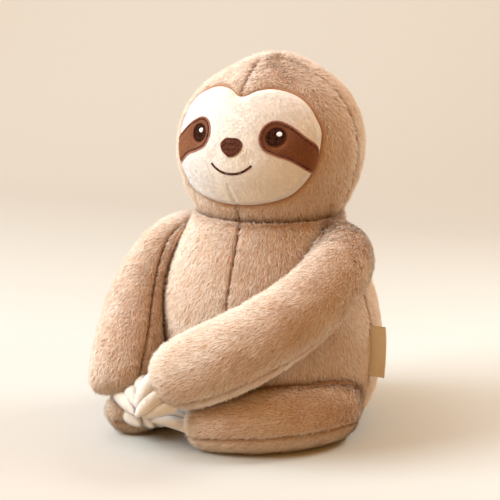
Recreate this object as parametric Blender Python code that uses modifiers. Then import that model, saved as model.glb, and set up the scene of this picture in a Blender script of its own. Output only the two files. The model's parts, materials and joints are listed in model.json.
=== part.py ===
"""A plush sloth that sits and hugs itself, as sewn covers over stuffed fillings.

Metres, +Z up. The toy faces -Y, its own left side is +X, and the origin is the centre of the seat
on the surface it sits on. Every stuffed form is a coarse cage of rings with Subdivision Surface. Its
cover is the form less the same form drawn in by the cloth's thickness, cut along the seams into the
pieces that were sewn together, and its filling is the form drawn in a little further. Where two forms
press on each other, the smaller one gives way.
"""

import math

import bmesh
import bpy
from mathutils import Matrix, Vector

# Sizes of the whole toy.
TORSO_HEIGHT = 0.172
TORSO_HALF_WIDTH = 0.092
TORSO_HALF_DEPTH = 0.0885
HEAD_HEIGHT = 0.126
HEAD_HALF_WIDTH = 0.0755
HEAD_HALF_DEPTH = 0.0725
MUZZLE_REACH = 0.008
ARM_RADIUS = 0.029
LEG_RADIUS = 0.0262
CLAW_RADIUS = 0.0062

# Cloth, seams and clearances.
COVER_WALL = 0.0024
TOUCH_GAP = 0.0003
SEAM_GAP = 0.0004
NECK_GAP = 0.0004
FLOOR_FLAT_DEPTH = 0.0005
FOOT_CLEARANCE = 0.0008
CUT_OVERRUN = 0.02
SHARP_ANGLE = 40

# The seat and what is under the filling.
BASE_PANEL_RADIUS = 0.056
BASE_PANEL_SIDES = 12
PELLET_BAG_RADIUS = 0.048
PELLET_BAG_HEIGHT = 0.026

# The face.
PATCH_THICKNESS = 0.0008
BORDER_WIDTH = 0.0019
BORDER_THICKNESS = 0.0013
EYE_RADIUS = 0.0072
EYE_THICKNESS = 0.0012
GLINT_RADIUS = 0.0019
GLINT_THICKNESS = 0.0007
NOSE_HALF_WIDTH = 0.0097
NOSE_HEIGHT = 0.0145
NOSE_THICKNESS = 0.002
MOUTH_HALF_WIDTH = 0.0165
MOUTH_DROP = 0.007
MOUTH_WIDTH = 0.0017
MOUTH_THICKNESS = 0.0012

# The side label.
LABEL_REACH = 0.012
LABEL_HEIGHT = 0.041
LABEL_THICKNESS = 0.0014

NECK_HEIGHT = TORSO_HEIGHT
SIDE_SEAM_SHARE = -0.09
SIDE_SEAM_Y = SIDE_SEAM_SHARE * TORSO_HALF_DEPTH
HEAD_SEAM_Y = 0.0
# The right foot's half thickness, as a share of the leg's radius. The right hand rests flat on the foot.
RIGHT_FOOT_SHARE = 0.71
HAND_REST = 2 * RIGHT_FOOT_SHARE * LEG_RADIUS - FLOOR_FLAT_DEPTH + FOOT_CLEARANCE

# Where the limbs are sewn on and the label sits: shares of the torso's half width, half depth and height.
SHOULDER_SHARE = (0.85, 0.2, 0.87)
HIP_SHARE = (0.98, 0.07, 0.15)
LABEL_ROOT_SHARE = (0.985, SIDE_SEAM_SHARE, 0.39)

# Ring tables: height as a share of the form's height, radius as a share of its half width.
TORSO_RING_SHARES = (
    (-0.006, 0.65),
    (0.045, 0.86),
    (0.22, 0.985),
    (0.45, 1.015),
    (0.68, 0.925),
    (0.9, 0.725),
    (1.1, 0.58),
)
TORSO_LEAN_SHARES = (0.0, 0.0, -0.01, -0.025, -0.045, -0.05, -0.02)
# The last two columns are the muzzle's reach at the front point and at the points beside it. The lean
# tables shift each ring along Y, as shares of the form's half depth.
HEAD_RING_SHARES = (
    (-0.12, 0.58, 0.0, 0.0),
    (0.0, 0.765, 0.2, 0.1),
    (0.17, 0.925, 0.85, 0.25),
    (0.38, 1.015, 1.1, 0.3),
    (0.57, 0.975, 0.75, 0.2),
    (0.75, 0.83, 0.2, 0.05),
    (0.885, 0.56, 0.0, 0.0),
    (0.995, 0.17, 0.0, 0.0),
)
HEAD_LEAN_SHARES = (0.0, 0.0, 0.0, 0.015, 0.03, 0.06, 0.11, 0.15)

# Limb tables: the place of each ring as shares of the torso's half width, half depth and height,
# then the two radii as shares of the limb's radius, across and up the limb.
LEFT_ARM_SHARES = (
    (0.5, 0.029, 0.835, 0.62, 0.62),
    (0.7, -0.12, 0.862, 0.83, 0.83),
    (0.868, -0.47, 0.836, 0.9, 0.91),
    (0.765, -0.9, 0.7, 0.95, 0.97),
    (0.4, -1.2, 0.54, 1.02, 1.02),
    (-0.08, -1.29, 0.405, 1.07, 1.08),
    (-0.46, -1.275, 0.315, 0.8, 0.82),
)
RIGHT_ARM_SHARES = (
    (-0.53, 0.049, 0.835, 0.62, 0.62),
    (-0.81, -0.015, 0.862, 0.8, 0.8),
    (-0.97, -0.27, 0.735, 0.88, 0.88),
    (-1.0, -0.6, 0.565, 0.95, 0.95),
    (-0.94, -0.87, 0.43, 0.99, 0.98),
    (-0.9, -1.08, 0.31, 0.99, 0.98),
    (-0.875, -1.2, 0.21, 0.86, 0.82),
)
LEFT_LEG_SHARES = (
    (0.67, -0.155, 0.74, 0.74),
    (0.775, -0.37, 1.03, 1.03),
    (0.63, -0.68, 1.04, 1.04),
    (0.33, -0.99, 0.99, 0.99),
    (-0.05, -1.115, 0.87, 0.86),
    (-0.26, -1.095, 0.6, 0.58),
)
RIGHT_LEG_SHARES = (
    (-0.67, -0.135, 0.72, 0.72),
    (-0.8, -0.34, 0.94, 0.86),
    (-0.87, -0.62, 0.98, 0.78),
    (-0.905, -0.86, 0.97, RIGHT_FOOT_SHARE),
    (-0.885, -1.0, 0.88, RIGHT_FOOT_SHARE),
    (-0.85, -1.11, 0.58, 0.52),
)
# Where a limb's visible seam lies round its section, in degrees from its level direction.
LEFT_ARM_SEAM = -50
RIGHT_ARM_SEAM = 45
LEFT_LEG_SEAM = -20
RIGHT_LEG_SEAM = 200
SEAM_SHEET_SHARE = 1.12

# Claws: root and tip as shares of the torso's half width, half depth and height.
CLAW_SHARES = {
    "left_hand_claw_1": ((-0.425, -1.35, 0.362), (-0.54, -1.565, 0.235)),
    "left_hand_claw_2": ((-0.34, -1.37, 0.3), (-0.525, -1.6, 0.2)),
    "left_hand_claw_3": ((-0.27, -1.35, 0.237), (-0.49, -1.55, 0.192)),
    "right_hand_claw_1": ((-0.92, -1.16, 0.22), (-0.622, -1.438, 0.178)),
    "right_hand_claw_2": ((-0.81, -1.15, 0.25), (-0.6, -1.44, 0.218)),
    "right_hand_claw_3": ((-0.71, -1.12, 0.29), (-0.59, -1.36, 0.255)),
    "left_foot_claw_1": ((-0.215, -1.12, 0.08), (-0.54, -1.3, 0.135)),
    "left_foot_claw_2": ((-0.225, -1.08, 0.11), (-0.52, -1.23, 0.17)),
    "left_foot_claw_3": ((-0.235, -1.01, 0.115), (-0.53, -1.12, 0.175)),
    "right_foot_claw_1": ((-0.88, -1.05, 0.105), (-0.685, -1.22, 0.09)),
    "right_foot_claw_2": ((-0.79, -1.01, 0.105), (-0.575, -1.18, 0.085)),
    "right_foot_claw_3": ((-0.73, -0.93, 0.1), (-0.54, -1.06, 0.075)),
}
CLAW_RING_SHARES = ((0.0, 1.0), (0.5, 1.3), (0.95, 0.75))
CLAW_BOW_SHARE = 0.1

# The bag of pellets: height and radius as shares of its own.
PELLET_BAG_SHARES = ((0.0, 0.86), (0.3, 1.0), (0.7, 0.96), (1.0, 0.66))
BAG_MOUTH_SHARE = 0.5

# The face's outlines, in front view: shares of the head's half width and height above the neck.
FACE_HALF_SHARES = (
    (0.0, 0.772),
    (0.1, 0.803),
    (0.29, 0.82),
    (0.45, 0.803),
    (0.60, 0.757),
    (0.72, 0.67),
    (0.80, 0.525),
    (0.755, 0.335),
    (0.58, 0.185),
    (0.31, 0.122),
    (0.0, 0.105),
)
PATCH_SHARES = (
    (0.262, 0.54),
    (0.30, 0.61),
    (0.40, 0.636),
    (0.53, 0.607),
    (0.67, 0.54),
    (0.80, 0.452),
    (0.80, 0.287),
    (0.70, 0.33),
    (0.56, 0.398),
    (0.41, 0.435),
    (0.31, 0.47),
)
EYE_SHARE = (0.415, 0.541)
GLINT_OFFSET_SHARE = (0.3, 0.27)
NOSE_SHARE = (0.0, 0.485)
NOSE_OUTLINE_SHARES = (
    (0.0, 0.5),
    (0.62, 0.44),
    (1.0, 0.16),
    (0.8, -0.16),
    (0.38, -0.42),
    (0.0, -0.5),
)
MOUTH_SHARE = (0.0, 0.375)
MOUTH_POINTS = 10
MOUTH_END_SHARE = 0.6
EYE_POINTS = 16
GLINT_POINTS = 8
# Outlines are carried back only this far towards the head's middle, as a share of its half depth.
FACE_BACK_SHARE = -0.28

COLOURS = {
    "plush": (0.42, 0.25, 0.15, 1.0),
    "minky": (0.88, 0.80, 0.70, 1.0),
    "patch_cloth": (0.095, 0.028, 0.012, 1.0),
    "patch_thread": (0.045, 0.012, 0.006, 1.0),
    "eye_thread": (0.02, 0.006, 0.004, 1.0),
    "nose_thread": (0.10, 0.03, 0.018, 1.0),
    "glint_thread": (0.85, 0.80, 0.74, 1.0),
    "filling": (0.85, 0.85, 0.83, 1.0),
    "pellet_cloth": (0.62, 0.58, 0.50, 1.0),
    "label_cloth": (0.42, 0.26, 0.13, 1.0),
}


def cleared_scene():
    """An empty scene with one collection for the toy and one for the shapes that cut it."""
    for obj in list(bpy.data.objects):
        bpy.data.objects.remove(obj, do_unlink=True)
    toy = bpy.data.collections.new("plush_sloth")
    tools = bpy.data.collections.new("cutters")
    bpy.context.scene.collection.children.link(toy)
    bpy.context.scene.collection.children.link(tools)
    return toy, tools


TOY, TOOLS = cleared_scene()


def cloth_material(name):
    """A rough Principled material in the piece's own colour."""
    material = bpy.data.materials.new(name)
    material.use_nodes = True
    shader = material.node_tree.nodes["Principled BSDF"]
    shader.inputs["Base Color"].default_value = COLOURS[name]
    shader.inputs["Roughness"].default_value = 0.9
    shader.inputs["Metallic"].default_value = 0.0
    return material


MATERIALS = {name: cloth_material(name) for name in COLOURS}


def helper_object(name, mesh):
    """An object among the cutters, which is not part of the toy."""
    obj = bpy.data.objects.new(name, mesh)
    TOOLS.objects.link(obj)
    obj.hide_render = True
    obj.display_type = "WIRE"
    return obj


def evaluated_mesh(obj):
    """The object's mesh with its modifiers in it."""
    bpy.context.view_layer.update()
    graph = bpy.context.evaluated_depsgraph_get()
    return bpy.data.meshes.new_from_object(obj.evaluated_get(graph))


def ring_swell(sides):
    """How much wider a ring of the cage is than the round form that it leaves."""
    return 8 / (6 + 2 * math.cos(2 * math.pi / sides))


def cage_form(name, rings):
    """A closed form through rings of points, rounded by Subdivision Surface and made a plain mesh."""
    shape = bmesh.new()
    loops = [[shape.verts.new(point) for point in ring] for ring in rings]
    for low, high in zip(loops, loops[1:]):
        for i, vert in enumerate(low):
            j = (i + 1) % len(low)
            shape.faces.new((vert, low[j], high[j], high[i]))
    shape.faces.new(reversed(loops[0]))
    shape.faces.new(loops[-1])
    bmesh.ops.recalc_face_normals(shape, faces=shape.faces)
    mesh = bpy.data.meshes.new(name)
    shape.to_mesh(mesh)
    shape.free()
    cage = helper_object(name, mesh)
    rounding = cage.modifiers.new("rounding", "SUBSURF")
    rounding.levels = 1
    rounding.render_levels = 1
    cage.modifiers.new("flat_faces", "TRIANGULATE")
    form = helper_object(name + "_form", evaluated_mesh(cage))
    bpy.data.objects.remove(cage)
    return form


def upright_rings(profile, half_width, half_depth, lean, bulge=None, sides=8):
    """Level rings about the Z axis. One point of each ring is at the very front."""
    rings = []
    swell = ring_swell(sides)
    for i, (height, radius_share) in enumerate(profile):
        ring = []
        for k in range(sides):
            angle = 2 * math.pi * k / sides - math.pi / 2
            reach = bulge[i][min(k, sides - k)] if bulge and min(k, sides - k) < 2 else 0
            across = swell * radius_share * half_width * math.cos(angle)
            along = (swell * radius_share * half_depth + reach) * math.sin(angle) + lean[i]
            ring.append(Vector((across, along, height)))
        rings.append(ring)
    return rings


def path_frame(centres, i):
    """The directions of a path at one of its points: level and square to it, and up from it."""
    tangent = (centres[min(i + 1, len(centres) - 1)] - centres[max(i - 1, 0)]).normalized()
    across = Vector((0, 0, 1)).cross(tangent).normalized()
    return across, tangent.cross(across)


def path_rings(centres, radii, sides=6):
    """Rings square to a path through the centres, with two radii each: level and upward."""
    rings = []
    swell = ring_swell(sides)
    for i, centre in enumerate(centres):
        across, upward = path_frame(centres, i)
        ring = []
        for k in range(sides):
            angle = 2 * math.pi * (k + 0.5) / sides
            ring.append(
                centre
                + across * (swell * radii[i][0] * math.cos(angle))
                + upward * (swell * radii[i][1] * math.sin(angle))
            )
        rings.append(ring)
    return rings


def offset_form(form, distance, name="offset"):
    """A copy of a form, grown by the distance or drawn in where it is negative."""
    copy = helper_object(name, form.data.copy())
    if distance:
        move = copy.modifiers.new("offset", "DISPLACE")
        move.mid_level = 0
        move.strength = distance
        copy.data = evaluated_mesh(copy)
        copy.modifiers.clear()
    return copy


def combine(obj, other, operation, keep_other=False):
    """One Boolean step, applied at once. Where the exact solver leaves nothing, the other one is used."""
    step = obj.modifiers.new(operation.lower(), "BOOLEAN")
    step.operation = operation
    step.object = other
    result = evaluated_mesh(obj)
    if not result.polygons:
        step.solver = "MANIFOLD"
        result = evaluated_mesh(obj)
    obj.data = result
    obj.modifiers.clear()
    if not keep_other:
        bpy.data.objects.remove(other)
    return obj


def mesh_box(name, low, high):
    """A closed box between two corners."""
    shape = bmesh.new()
    bmesh.ops.create_cube(shape, size=1)
    size = [b - a for a, b in zip(low, high)]
    middle = [(a + b) / 2 for a, b in zip(low, high)]
    bmesh.ops.scale(shape, vec=size, verts=shape.verts)
    bmesh.ops.translate(shape, vec=middle, verts=shape.verts)
    mesh = bpy.data.meshes.new(name)
    shape.to_mesh(mesh)
    shape.free()
    return helper_object(name, mesh)


WHOLE_REACH = 2 * (TORSO_HALF_WIDTH + TORSO_HALF_DEPTH + HEAD_HEIGHT)


def below(height):
    """A box that holds everything under a height."""
    return mesh_box("below", (-WHOLE_REACH, -WHOLE_REACH, -WHOLE_REACH), (WHOLE_REACH, WHOLE_REACH, height))


def above(height):
    """A box that holds everything over a height."""
    return mesh_box("above", (-WHOLE_REACH, -WHOLE_REACH, height), (WHOLE_REACH, WHOLE_REACH, WHOLE_REACH))


def stuffed(form, depth, larger, rest=None, name="stuffed"):
    """The form drawn in by a depth, less what presses on it, grown by the same depth and a gap."""
    solid = offset_form(form, -depth, name)
    for other in larger:
        combine(solid, offset_form(other, depth + TOUCH_GAP), "DIFFERENCE")
    if rest is not None:
        combine(solid, below(rest + depth), "DIFFERENCE")
    return solid


def linked_pieces(shape):
    """The vertices of each separate piece of a mesh, smallest piece first."""
    left = set(shape.verts)
    pieces = []
    while left:
        edge = [left.pop()]
        piece = []
        while edge:
            vert = edge.pop()
            piece.append(vert)
            for link in vert.link_edges:
                other = link.other_vert(vert)
                if other in left:
                    left.discard(other)
                    edge.append(other)
        pieces.append(piece)
    return sorted(pieces, key=len)


def take_piece(obj, rank=1):
    """Makes a mesh its largest piece, or its second largest, as offcuts fall away when cloth is cut."""
    shape = bmesh.new()
    shape.from_mesh(obj.data)
    pieces = linked_pieces(shape)
    pieces.pop(-rank)
    bmesh.ops.delete(shape, geom=[vert for piece in pieces for vert in piece], context="VERTS")
    shape.to_mesh(obj.data)
    shape.free()
    return obj


def finished(obj, name, material, pivot=None):
    """Puts a solid among the toy's pieces under its own name, with its origin at the pivot."""
    take_piece(obj)
    TOOLS.objects.unlink(obj)
    TOY.objects.link(obj)
    obj.name = name
    obj.data.name = name
    obj.hide_render = False
    obj.display_type = "SOLID"
    obj.data.materials.clear()
    obj.data.materials.append(MATERIALS[material])
    obj.data.shade_smooth()
    obj.data.set_sharp_from_angle(angle=math.radians(SHARP_ANGLE))
    if pivot is not None:
        obj.data.transform(Matrix.Translation(-pivot))
        obj.location = pivot
    return obj


def duplicate(obj, name="copy"):
    return helper_object(name, obj.data.copy())


def smooth_loop(points, steps=3):
    """A closed smooth curve through the points, as a list of points."""
    out = []
    count = len(points)
    for i in range(count):
        p0, p1, p2, p3 = (Vector(points[(i + k - 1) % count]) for k in range(4))
        for s in range(steps):
            t = s / steps
            out.append(
                0.5
                * (
                    2 * p1
                    + (p2 - p0) * t
                    + (2 * p0 - 5 * p1 + 4 * p2 - p3) * t**2
                    + (3 * p1 - p0 - 3 * p2 + p3) * t**3
                )
            )
    return out


def grown_loop(loop, distance):
    """The closed outline moved outwards along its normals."""
    area = sum(a.x * b.y - b.x * a.y for a, b in zip(loop, loop[1:] + loop[:1]))
    side = 1 if area > 0 else -1
    out = []
    for i, point in enumerate(loop):
        along = (loop[(i + 1) % len(loop)] - loop[i - 1]).normalized()
        out.append(point + side * distance * Vector((along.y, -along.x)))
    return out


def front_prism(name, loop, near=-WHOLE_REACH, far=FACE_BACK_SHARE * HEAD_HALF_DEPTH):
    """A prism along Y on an outline in front view, in front of the head's middle."""
    shape = bmesh.new()
    face = shape.faces.new([shape.verts.new((p.x, near, p.y)) for p in loop])
    grown = bmesh.ops.extrude_face_region(shape, geom=[face])
    moved = [item for item in grown["geom"] if isinstance(item, bmesh.types.BMVert)]
    bmesh.ops.translate(shape, vec=(0, far - near, 0), verts=moved)
    bmesh.ops.recalc_face_normals(shape, faces=shape.faces)
    mesh = bpy.data.meshes.new(name)
    shape.to_mesh(mesh)
    shape.free()
    return helper_object(name, mesh)


def on_head(share, side=1):
    """A point of the face in front view, from its shares."""
    return Vector((side * share[0] * HEAD_HALF_WIDTH, NECK_HEIGHT + share[1] * HEAD_HEIGHT))


def seam_sheet(name, centres, angle, half_width):
    """A thin sheet along a limb's middle line, as wide as the limb and square to its seams."""
    shape = bmesh.new()
    loops = []
    first = centres[0] - (centres[1] - centres[0]).normalized() * half_width
    last = centres[-1] + (centres[-1] - centres[-2]).normalized() * 2 * half_width
    line = [first] + list(centres[:-1]) + [last]
    turn = math.radians(angle)
    for i, centre in enumerate(line):
        across, upward = path_frame(line, i)
        side = across * math.cos(turn) + upward * math.sin(turn)
        normal = upward * math.cos(turn) - across * math.sin(turn)
        loops.append(
            [
                shape.verts.new(centre + side * (a * half_width) + normal * (b * SEAM_GAP / 2))
                for a, b in ((-1, -1), (1, -1), (1, 1), (-1, 1))
            ]
        )
    # The sheet twists, so both its faces are split along the same diagonals.
    for low, high in zip(loops, loops[1:]):
        shape.faces.new((low[0], low[1], high[1]))
        shape.faces.new((low[0], high[1], high[0]))
        shape.faces.new((low[3], high[2], low[2]))
        shape.faces.new((low[3], high[3], high[2]))
        shape.faces.new((low[1], low[2], high[2], high[1]))
        shape.faces.new((low[3], low[0], high[0], high[3]))
    shape.faces.new(reversed(loops[0]))
    shape.faces.new(loops[-1])
    bmesh.ops.recalc_face_normals(shape, faces=shape.faces)
    mesh = bpy.data.meshes.new(name)
    shape.to_mesh(mesh)
    shape.free()
    return helper_object(name, mesh)


def torso_place(share):
    """A point given as shares of the torso's half width, half depth and height."""
    return Vector(
        (share[0] * TORSO_HALF_WIDTH, share[1] * TORSO_HALF_DEPTH, share[2] * TORSO_HEIGHT)
    )


def torso_form():
    profile = [(h * TORSO_HEIGHT, r) for h, r in TORSO_RING_SHARES]
    lean = [share * TORSO_HALF_DEPTH for share in TORSO_LEAN_SHARES]
    return cage_form("torso", upright_rings(profile, TORSO_HALF_WIDTH, TORSO_HALF_DEPTH, lean))


def head_form():
    profile = [(NECK_HEIGHT + h * HEAD_HEIGHT, r) for h, r, _, _ in HEAD_RING_SHARES]
    bulge = [(a * MUZZLE_REACH, b * MUZZLE_REACH) for _, _, a, b in HEAD_RING_SHARES]
    lean = [share * HEAD_HALF_DEPTH for share in HEAD_LEAN_SHARES]
    return cage_form("head", upright_rings(profile, HEAD_HALF_WIDTH, HEAD_HALF_DEPTH, lean, bulge))


def arm_form(name, shares):
    centres = [torso_place(row) for row in shares]
    radii = [(row[3] * ARM_RADIUS, row[4] * ARM_RADIUS) for row in shares]
    return centres, cage_form(name, path_rings(centres, radii))


def leg_form(name, shares):
    centres = []
    radii = []
    for x, y, across, upward in shares:
        height = upward * LEG_RADIUS - FLOOR_FLAT_DEPTH
        centres.append(Vector((x * TORSO_HALF_WIDTH, y * TORSO_HALF_DEPTH, height)))
        radii.append((across * LEG_RADIUS, upward * LEG_RADIUS))
    return centres, cage_form(name, path_rings(centres, radii))


def claw_form(name, root, tip):
    """A plump leaf-shaped claw that bows a little upwards."""
    span = tip - root
    centres = []
    radii = []
    for along, share in CLAW_RING_SHARES:
        bow = Vector((0, 0, math.sin(math.pi * along) * CLAW_BOW_SHARE * span.length))
        centres.append(root + span * along + bow)
        radii.append((share * CLAW_RADIUS, share * CLAW_RADIUS))
    return cage_form(name, path_rings(centres, radii, sides=5))


def make_torso(form):
    """Front panels, back panel and seat panel, the filling and the bag of pellets low inside it."""
    top = NECK_HEIGHT - NECK_GAP / 2
    cover = stuffed(form, 0, (), 0, "torso_cover")
    cavity = offset_form(form, -COVER_WALL)
    combine(cavity, below(COVER_WALL), "DIFFERENCE")
    combine(cover, cavity, "DIFFERENCE")
    combine(cover, above(top), "DIFFERENCE")

    seat = bmesh.new()
    bmesh.ops.create_cone(
        seat,
        cap_ends=True,
        segments=BASE_PANEL_SIDES,
        radius1=BASE_PANEL_RADIUS,
        radius2=BASE_PANEL_RADIUS,
        depth=2 * CUT_OVERRUN,
    )
    seat_mesh = bpy.data.meshes.new("seat_cutter")
    seat.to_mesh(seat_mesh)
    seat.free()
    seat_cutter = helper_object("seat_cutter", seat_mesh)
    base = combine(duplicate(cover), seat_cutter, "INTERSECT", keep_other=True)
    finished(base, "torso_base", "plush")
    seat_cutter.scale = ((BASE_PANEL_RADIUS + SEAM_GAP) / BASE_PANEL_RADIUS,) * 2 + (1,)
    combine(cover, seat_cutter, "DIFFERENCE")

    back = mesh_box(
        "back_half",
        (-WHOLE_REACH, SIDE_SEAM_Y + SEAM_GAP / 2, -WHOLE_REACH),
        (WHOLE_REACH, WHOLE_REACH, WHOLE_REACH),
    )
    finished(combine(duplicate(cover), back, "INTERSECT"), "torso_back", "plush")
    for name, low, high in (
        ("torso_front_left", SEAM_GAP / 2, WHOLE_REACH),
        ("torso_front_right", -WHOLE_REACH, -SEAM_GAP / 2),
    ):
        quarter = mesh_box(
            name + "_quarter",
            (low, -WHOLE_REACH, -WHOLE_REACH),
            (high, SIDE_SEAM_Y - SEAM_GAP / 2, WHOLE_REACH),
        )
        finished(combine(duplicate(cover), quarter, "INTERSECT"), name, "plush")
    bpy.data.objects.remove(cover)

    inside = COVER_WALL + TOUCH_GAP
    filling = stuffed(form, inside, (), 0)
    combine(filling, above(top), "DIFFERENCE")
    profile = [(inside + TOUCH_GAP + h * PELLET_BAG_HEIGHT, r) for h, r in PELLET_BAG_SHARES]
    rings = upright_rings(profile, PELLET_BAG_RADIUS, PELLET_BAG_RADIUS, [0.0] * len(profile))
    bag = cage_form("pellet_bag", rings)
    recess = offset_form(bag, TOUCH_GAP)
    combine(filling, recess, "DIFFERENCE")
    mouth = BAG_MOUTH_SHARE * PELLET_BAG_RADIUS
    mouth_top = inside + TOUCH_GAP + BAG_MOUTH_SHARE * PELLET_BAG_HEIGHT
    hole = mesh_box("bag_mouth", (-mouth, -mouth, -CUT_OVERRUN), (mouth, mouth, mouth_top))
    combine(filling, hole, "DIFFERENCE")
    finished(filling, "torso_filling", "filling")
    finished(bag, "pellet_bag", "pellet_cloth")


def make_head(form):
    """The hood around the face, the face panel and the filling."""
    bottom = NECK_HEIGHT + NECK_GAP / 2
    cover = offset_form(form, 0, "head_cover")
    combine(cover, offset_form(form, -COVER_WALL), "DIFFERENCE")
    combine(cover, below(bottom), "DIFFERENCE")

    half = [on_head(share) for share in FACE_HALF_SHARES]
    other = [Vector((-p.x, p.y)) for p in reversed(half[1:-1])]
    face_loop = smooth_loop(half + other, 2)
    inside = front_prism("face_prism", grown_loop(face_loop, -SEAM_GAP / 2))
    finished(combine(duplicate(cover), inside, "INTERSECT"), "face_panel", "minky")
    combine(cover, front_prism("face_hole", grown_loop(face_loop, SEAM_GAP / 2)), "DIFFERENCE")

    back = mesh_box(
        "head_back_half",
        (-WHOLE_REACH, HEAD_SEAM_Y + SEAM_GAP / 2, -WHOLE_REACH),
        (WHOLE_REACH, WHOLE_REACH, WHOLE_REACH),
    )
    finished(combine(duplicate(cover), back, "INTERSECT"), "head_back", "plush")
    for name, low, high in (
        ("head_front_left", SEAM_GAP / 2, WHOLE_REACH),
        ("head_front_right", -WHOLE_REACH, -SEAM_GAP / 2),
    ):
        quarter = mesh_box(
            name + "_quarter",
            (low, -WHOLE_REACH, -WHOLE_REACH),
            (high, HEAD_SEAM_Y - SEAM_GAP / 2, WHOLE_REACH),
        )
        finished(combine(duplicate(cover), quarter, "INTERSECT"), name, "plush")
    bpy.data.objects.remove(cover)
    filling = offset_form(form, -COVER_WALL - TOUCH_GAP)
    finished(combine(filling, below(bottom), "DIFFERENCE"), "head_filling", "filling")
    return face_loop


def applique(form, loops, lift, thickness, inner=None):
    """A thin piece that lies on the head, inside every outline, with an outline left out."""
    piece = offset_form(form, lift + thickness)
    for loop in loops:
        combine(piece, front_prism("outline", loop), "INTERSECT")
    if inner:
        combine(piece, front_prism("hole", inner), "DIFFERENCE")
    return combine(piece, offset_form(form, lift), "DIFFERENCE")


def circle_loop(centre, radius, count):
    return [
        centre + radius * Vector((math.cos(a), math.sin(a)))
        for a in (2 * math.pi * k / count for k in range(count))
    ]


def make_face(form, face_loop):
    """Eye patches with stitched borders, eyes with glints, the nose and the mouth."""
    edge = grown_loop(face_loop, -SEAM_GAP / 2)
    for name, side in (("left", 1), ("right", -1)):
        outline = smooth_loop([on_head(share, side) for share in PATCH_SHARES], 2)
        inner = grown_loop(outline, -BORDER_WIDTH)
        patch = applique(form, (grown_loop(inner, -TOUCH_GAP), edge), TOUCH_GAP, PATCH_THICKNESS)
        finished(patch, name + "_eye_patch", "patch_cloth")
        border = applique(form, (outline, edge), TOUCH_GAP, BORDER_THICKNESS, inner)
        finished(border, name + "_patch_border", "patch_thread")
        centre = on_head(EYE_SHARE, side)
        eye_lift = TOUCH_GAP + PATCH_THICKNESS + TOUCH_GAP
        eye_loop = circle_loop(centre, EYE_RADIUS, EYE_POINTS)
        eye = applique(form, (eye_loop,), eye_lift, EYE_THICKNESS)
        finished(eye, name + "_eye", "eye_thread")
        shine = centre + EYE_RADIUS * Vector(GLINT_OFFSET_SHARE)
        glint_lift = eye_lift + EYE_THICKNESS + TOUCH_GAP
        glint_loop = circle_loop(shine, GLINT_RADIUS, GLINT_POINTS)
        glint = applique(form, (glint_loop,), glint_lift, GLINT_THICKNESS)
        finished(glint, name + "_eye_glint", "glint_thread")

    middle = on_head(NOSE_SHARE)
    half = [
        middle + Vector((x * NOSE_HALF_WIDTH, y * NOSE_HEIGHT)) for x, y in NOSE_OUTLINE_SHARES
    ]
    nose_loop = smooth_loop(half + [Vector((-p.x, p.y)) for p in reversed(half[1:-1])], 2)
    finished(applique(form, (nose_loop,), TOUCH_GAP, NOSE_THICKNESS), "nose", "nose_thread")

    middle = on_head(MOUTH_SHARE)
    upper = []
    lower = []
    for k in range(MOUTH_POINTS + 1):
        t = 2 * k / MOUTH_POINTS - 1
        dip = MOUTH_DROP * (t * t - 1)
        fullness = MOUTH_END_SHARE + (1 - MOUTH_END_SHARE) * math.cos(math.pi * t / 2)
        slim = fullness * MOUTH_WIDTH / 2
        upper.append(middle + Vector((t * MOUTH_HALF_WIDTH, dip + slim)))
        lower.append(middle + Vector((t * MOUTH_HALF_WIDTH, dip - slim)))
    mouth = applique(form, (upper + lower[::-1],), TOUCH_GAP, MOUTH_THICKNESS)
    finished(mouth, "mouth", "eye_thread")


def make_limb(name, form, centres, radius, seam_angle, larger, pivot, rest=None):
    """A limb's two sewn panels and its filling."""
    cover = stuffed(form, 0, larger, rest)
    combine(cover, stuffed(form, COVER_WALL, larger, rest), "DIFFERENCE")
    sheet = seam_sheet(name + "_seam", centres, seam_angle, SEAM_SHEET_SHARE * radius)
    combine(cover, sheet, "DIFFERENCE")
    lower = take_piece(duplicate(cover), rank=2)
    finished(cover, name + "_upper_panel", "plush", pivot)
    finished(lower, name + "_lower_panel", "plush", pivot)
    filling = stuffed(form, COVER_WALL + TOUCH_GAP, larger, rest)
    finished(filling, name + "_filling", "filling", pivot)


def make_label(torso, pivot):
    """A folded cloth label that stands out of the left side seam."""
    low = (pivot.x - COVER_WALL, pivot.y - LABEL_THICKNESS / 2, pivot.z - LABEL_HEIGHT / 2)
    high = (pivot.x + LABEL_REACH, pivot.y + LABEL_THICKNESS / 2, pivot.z + LABEL_HEIGHT / 2)
    label = mesh_box("label", low, high)
    combine(label, offset_form(torso, TOUCH_GAP), "DIFFERENCE")
    finished(label, "side_label", "label_cloth", pivot)


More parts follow.
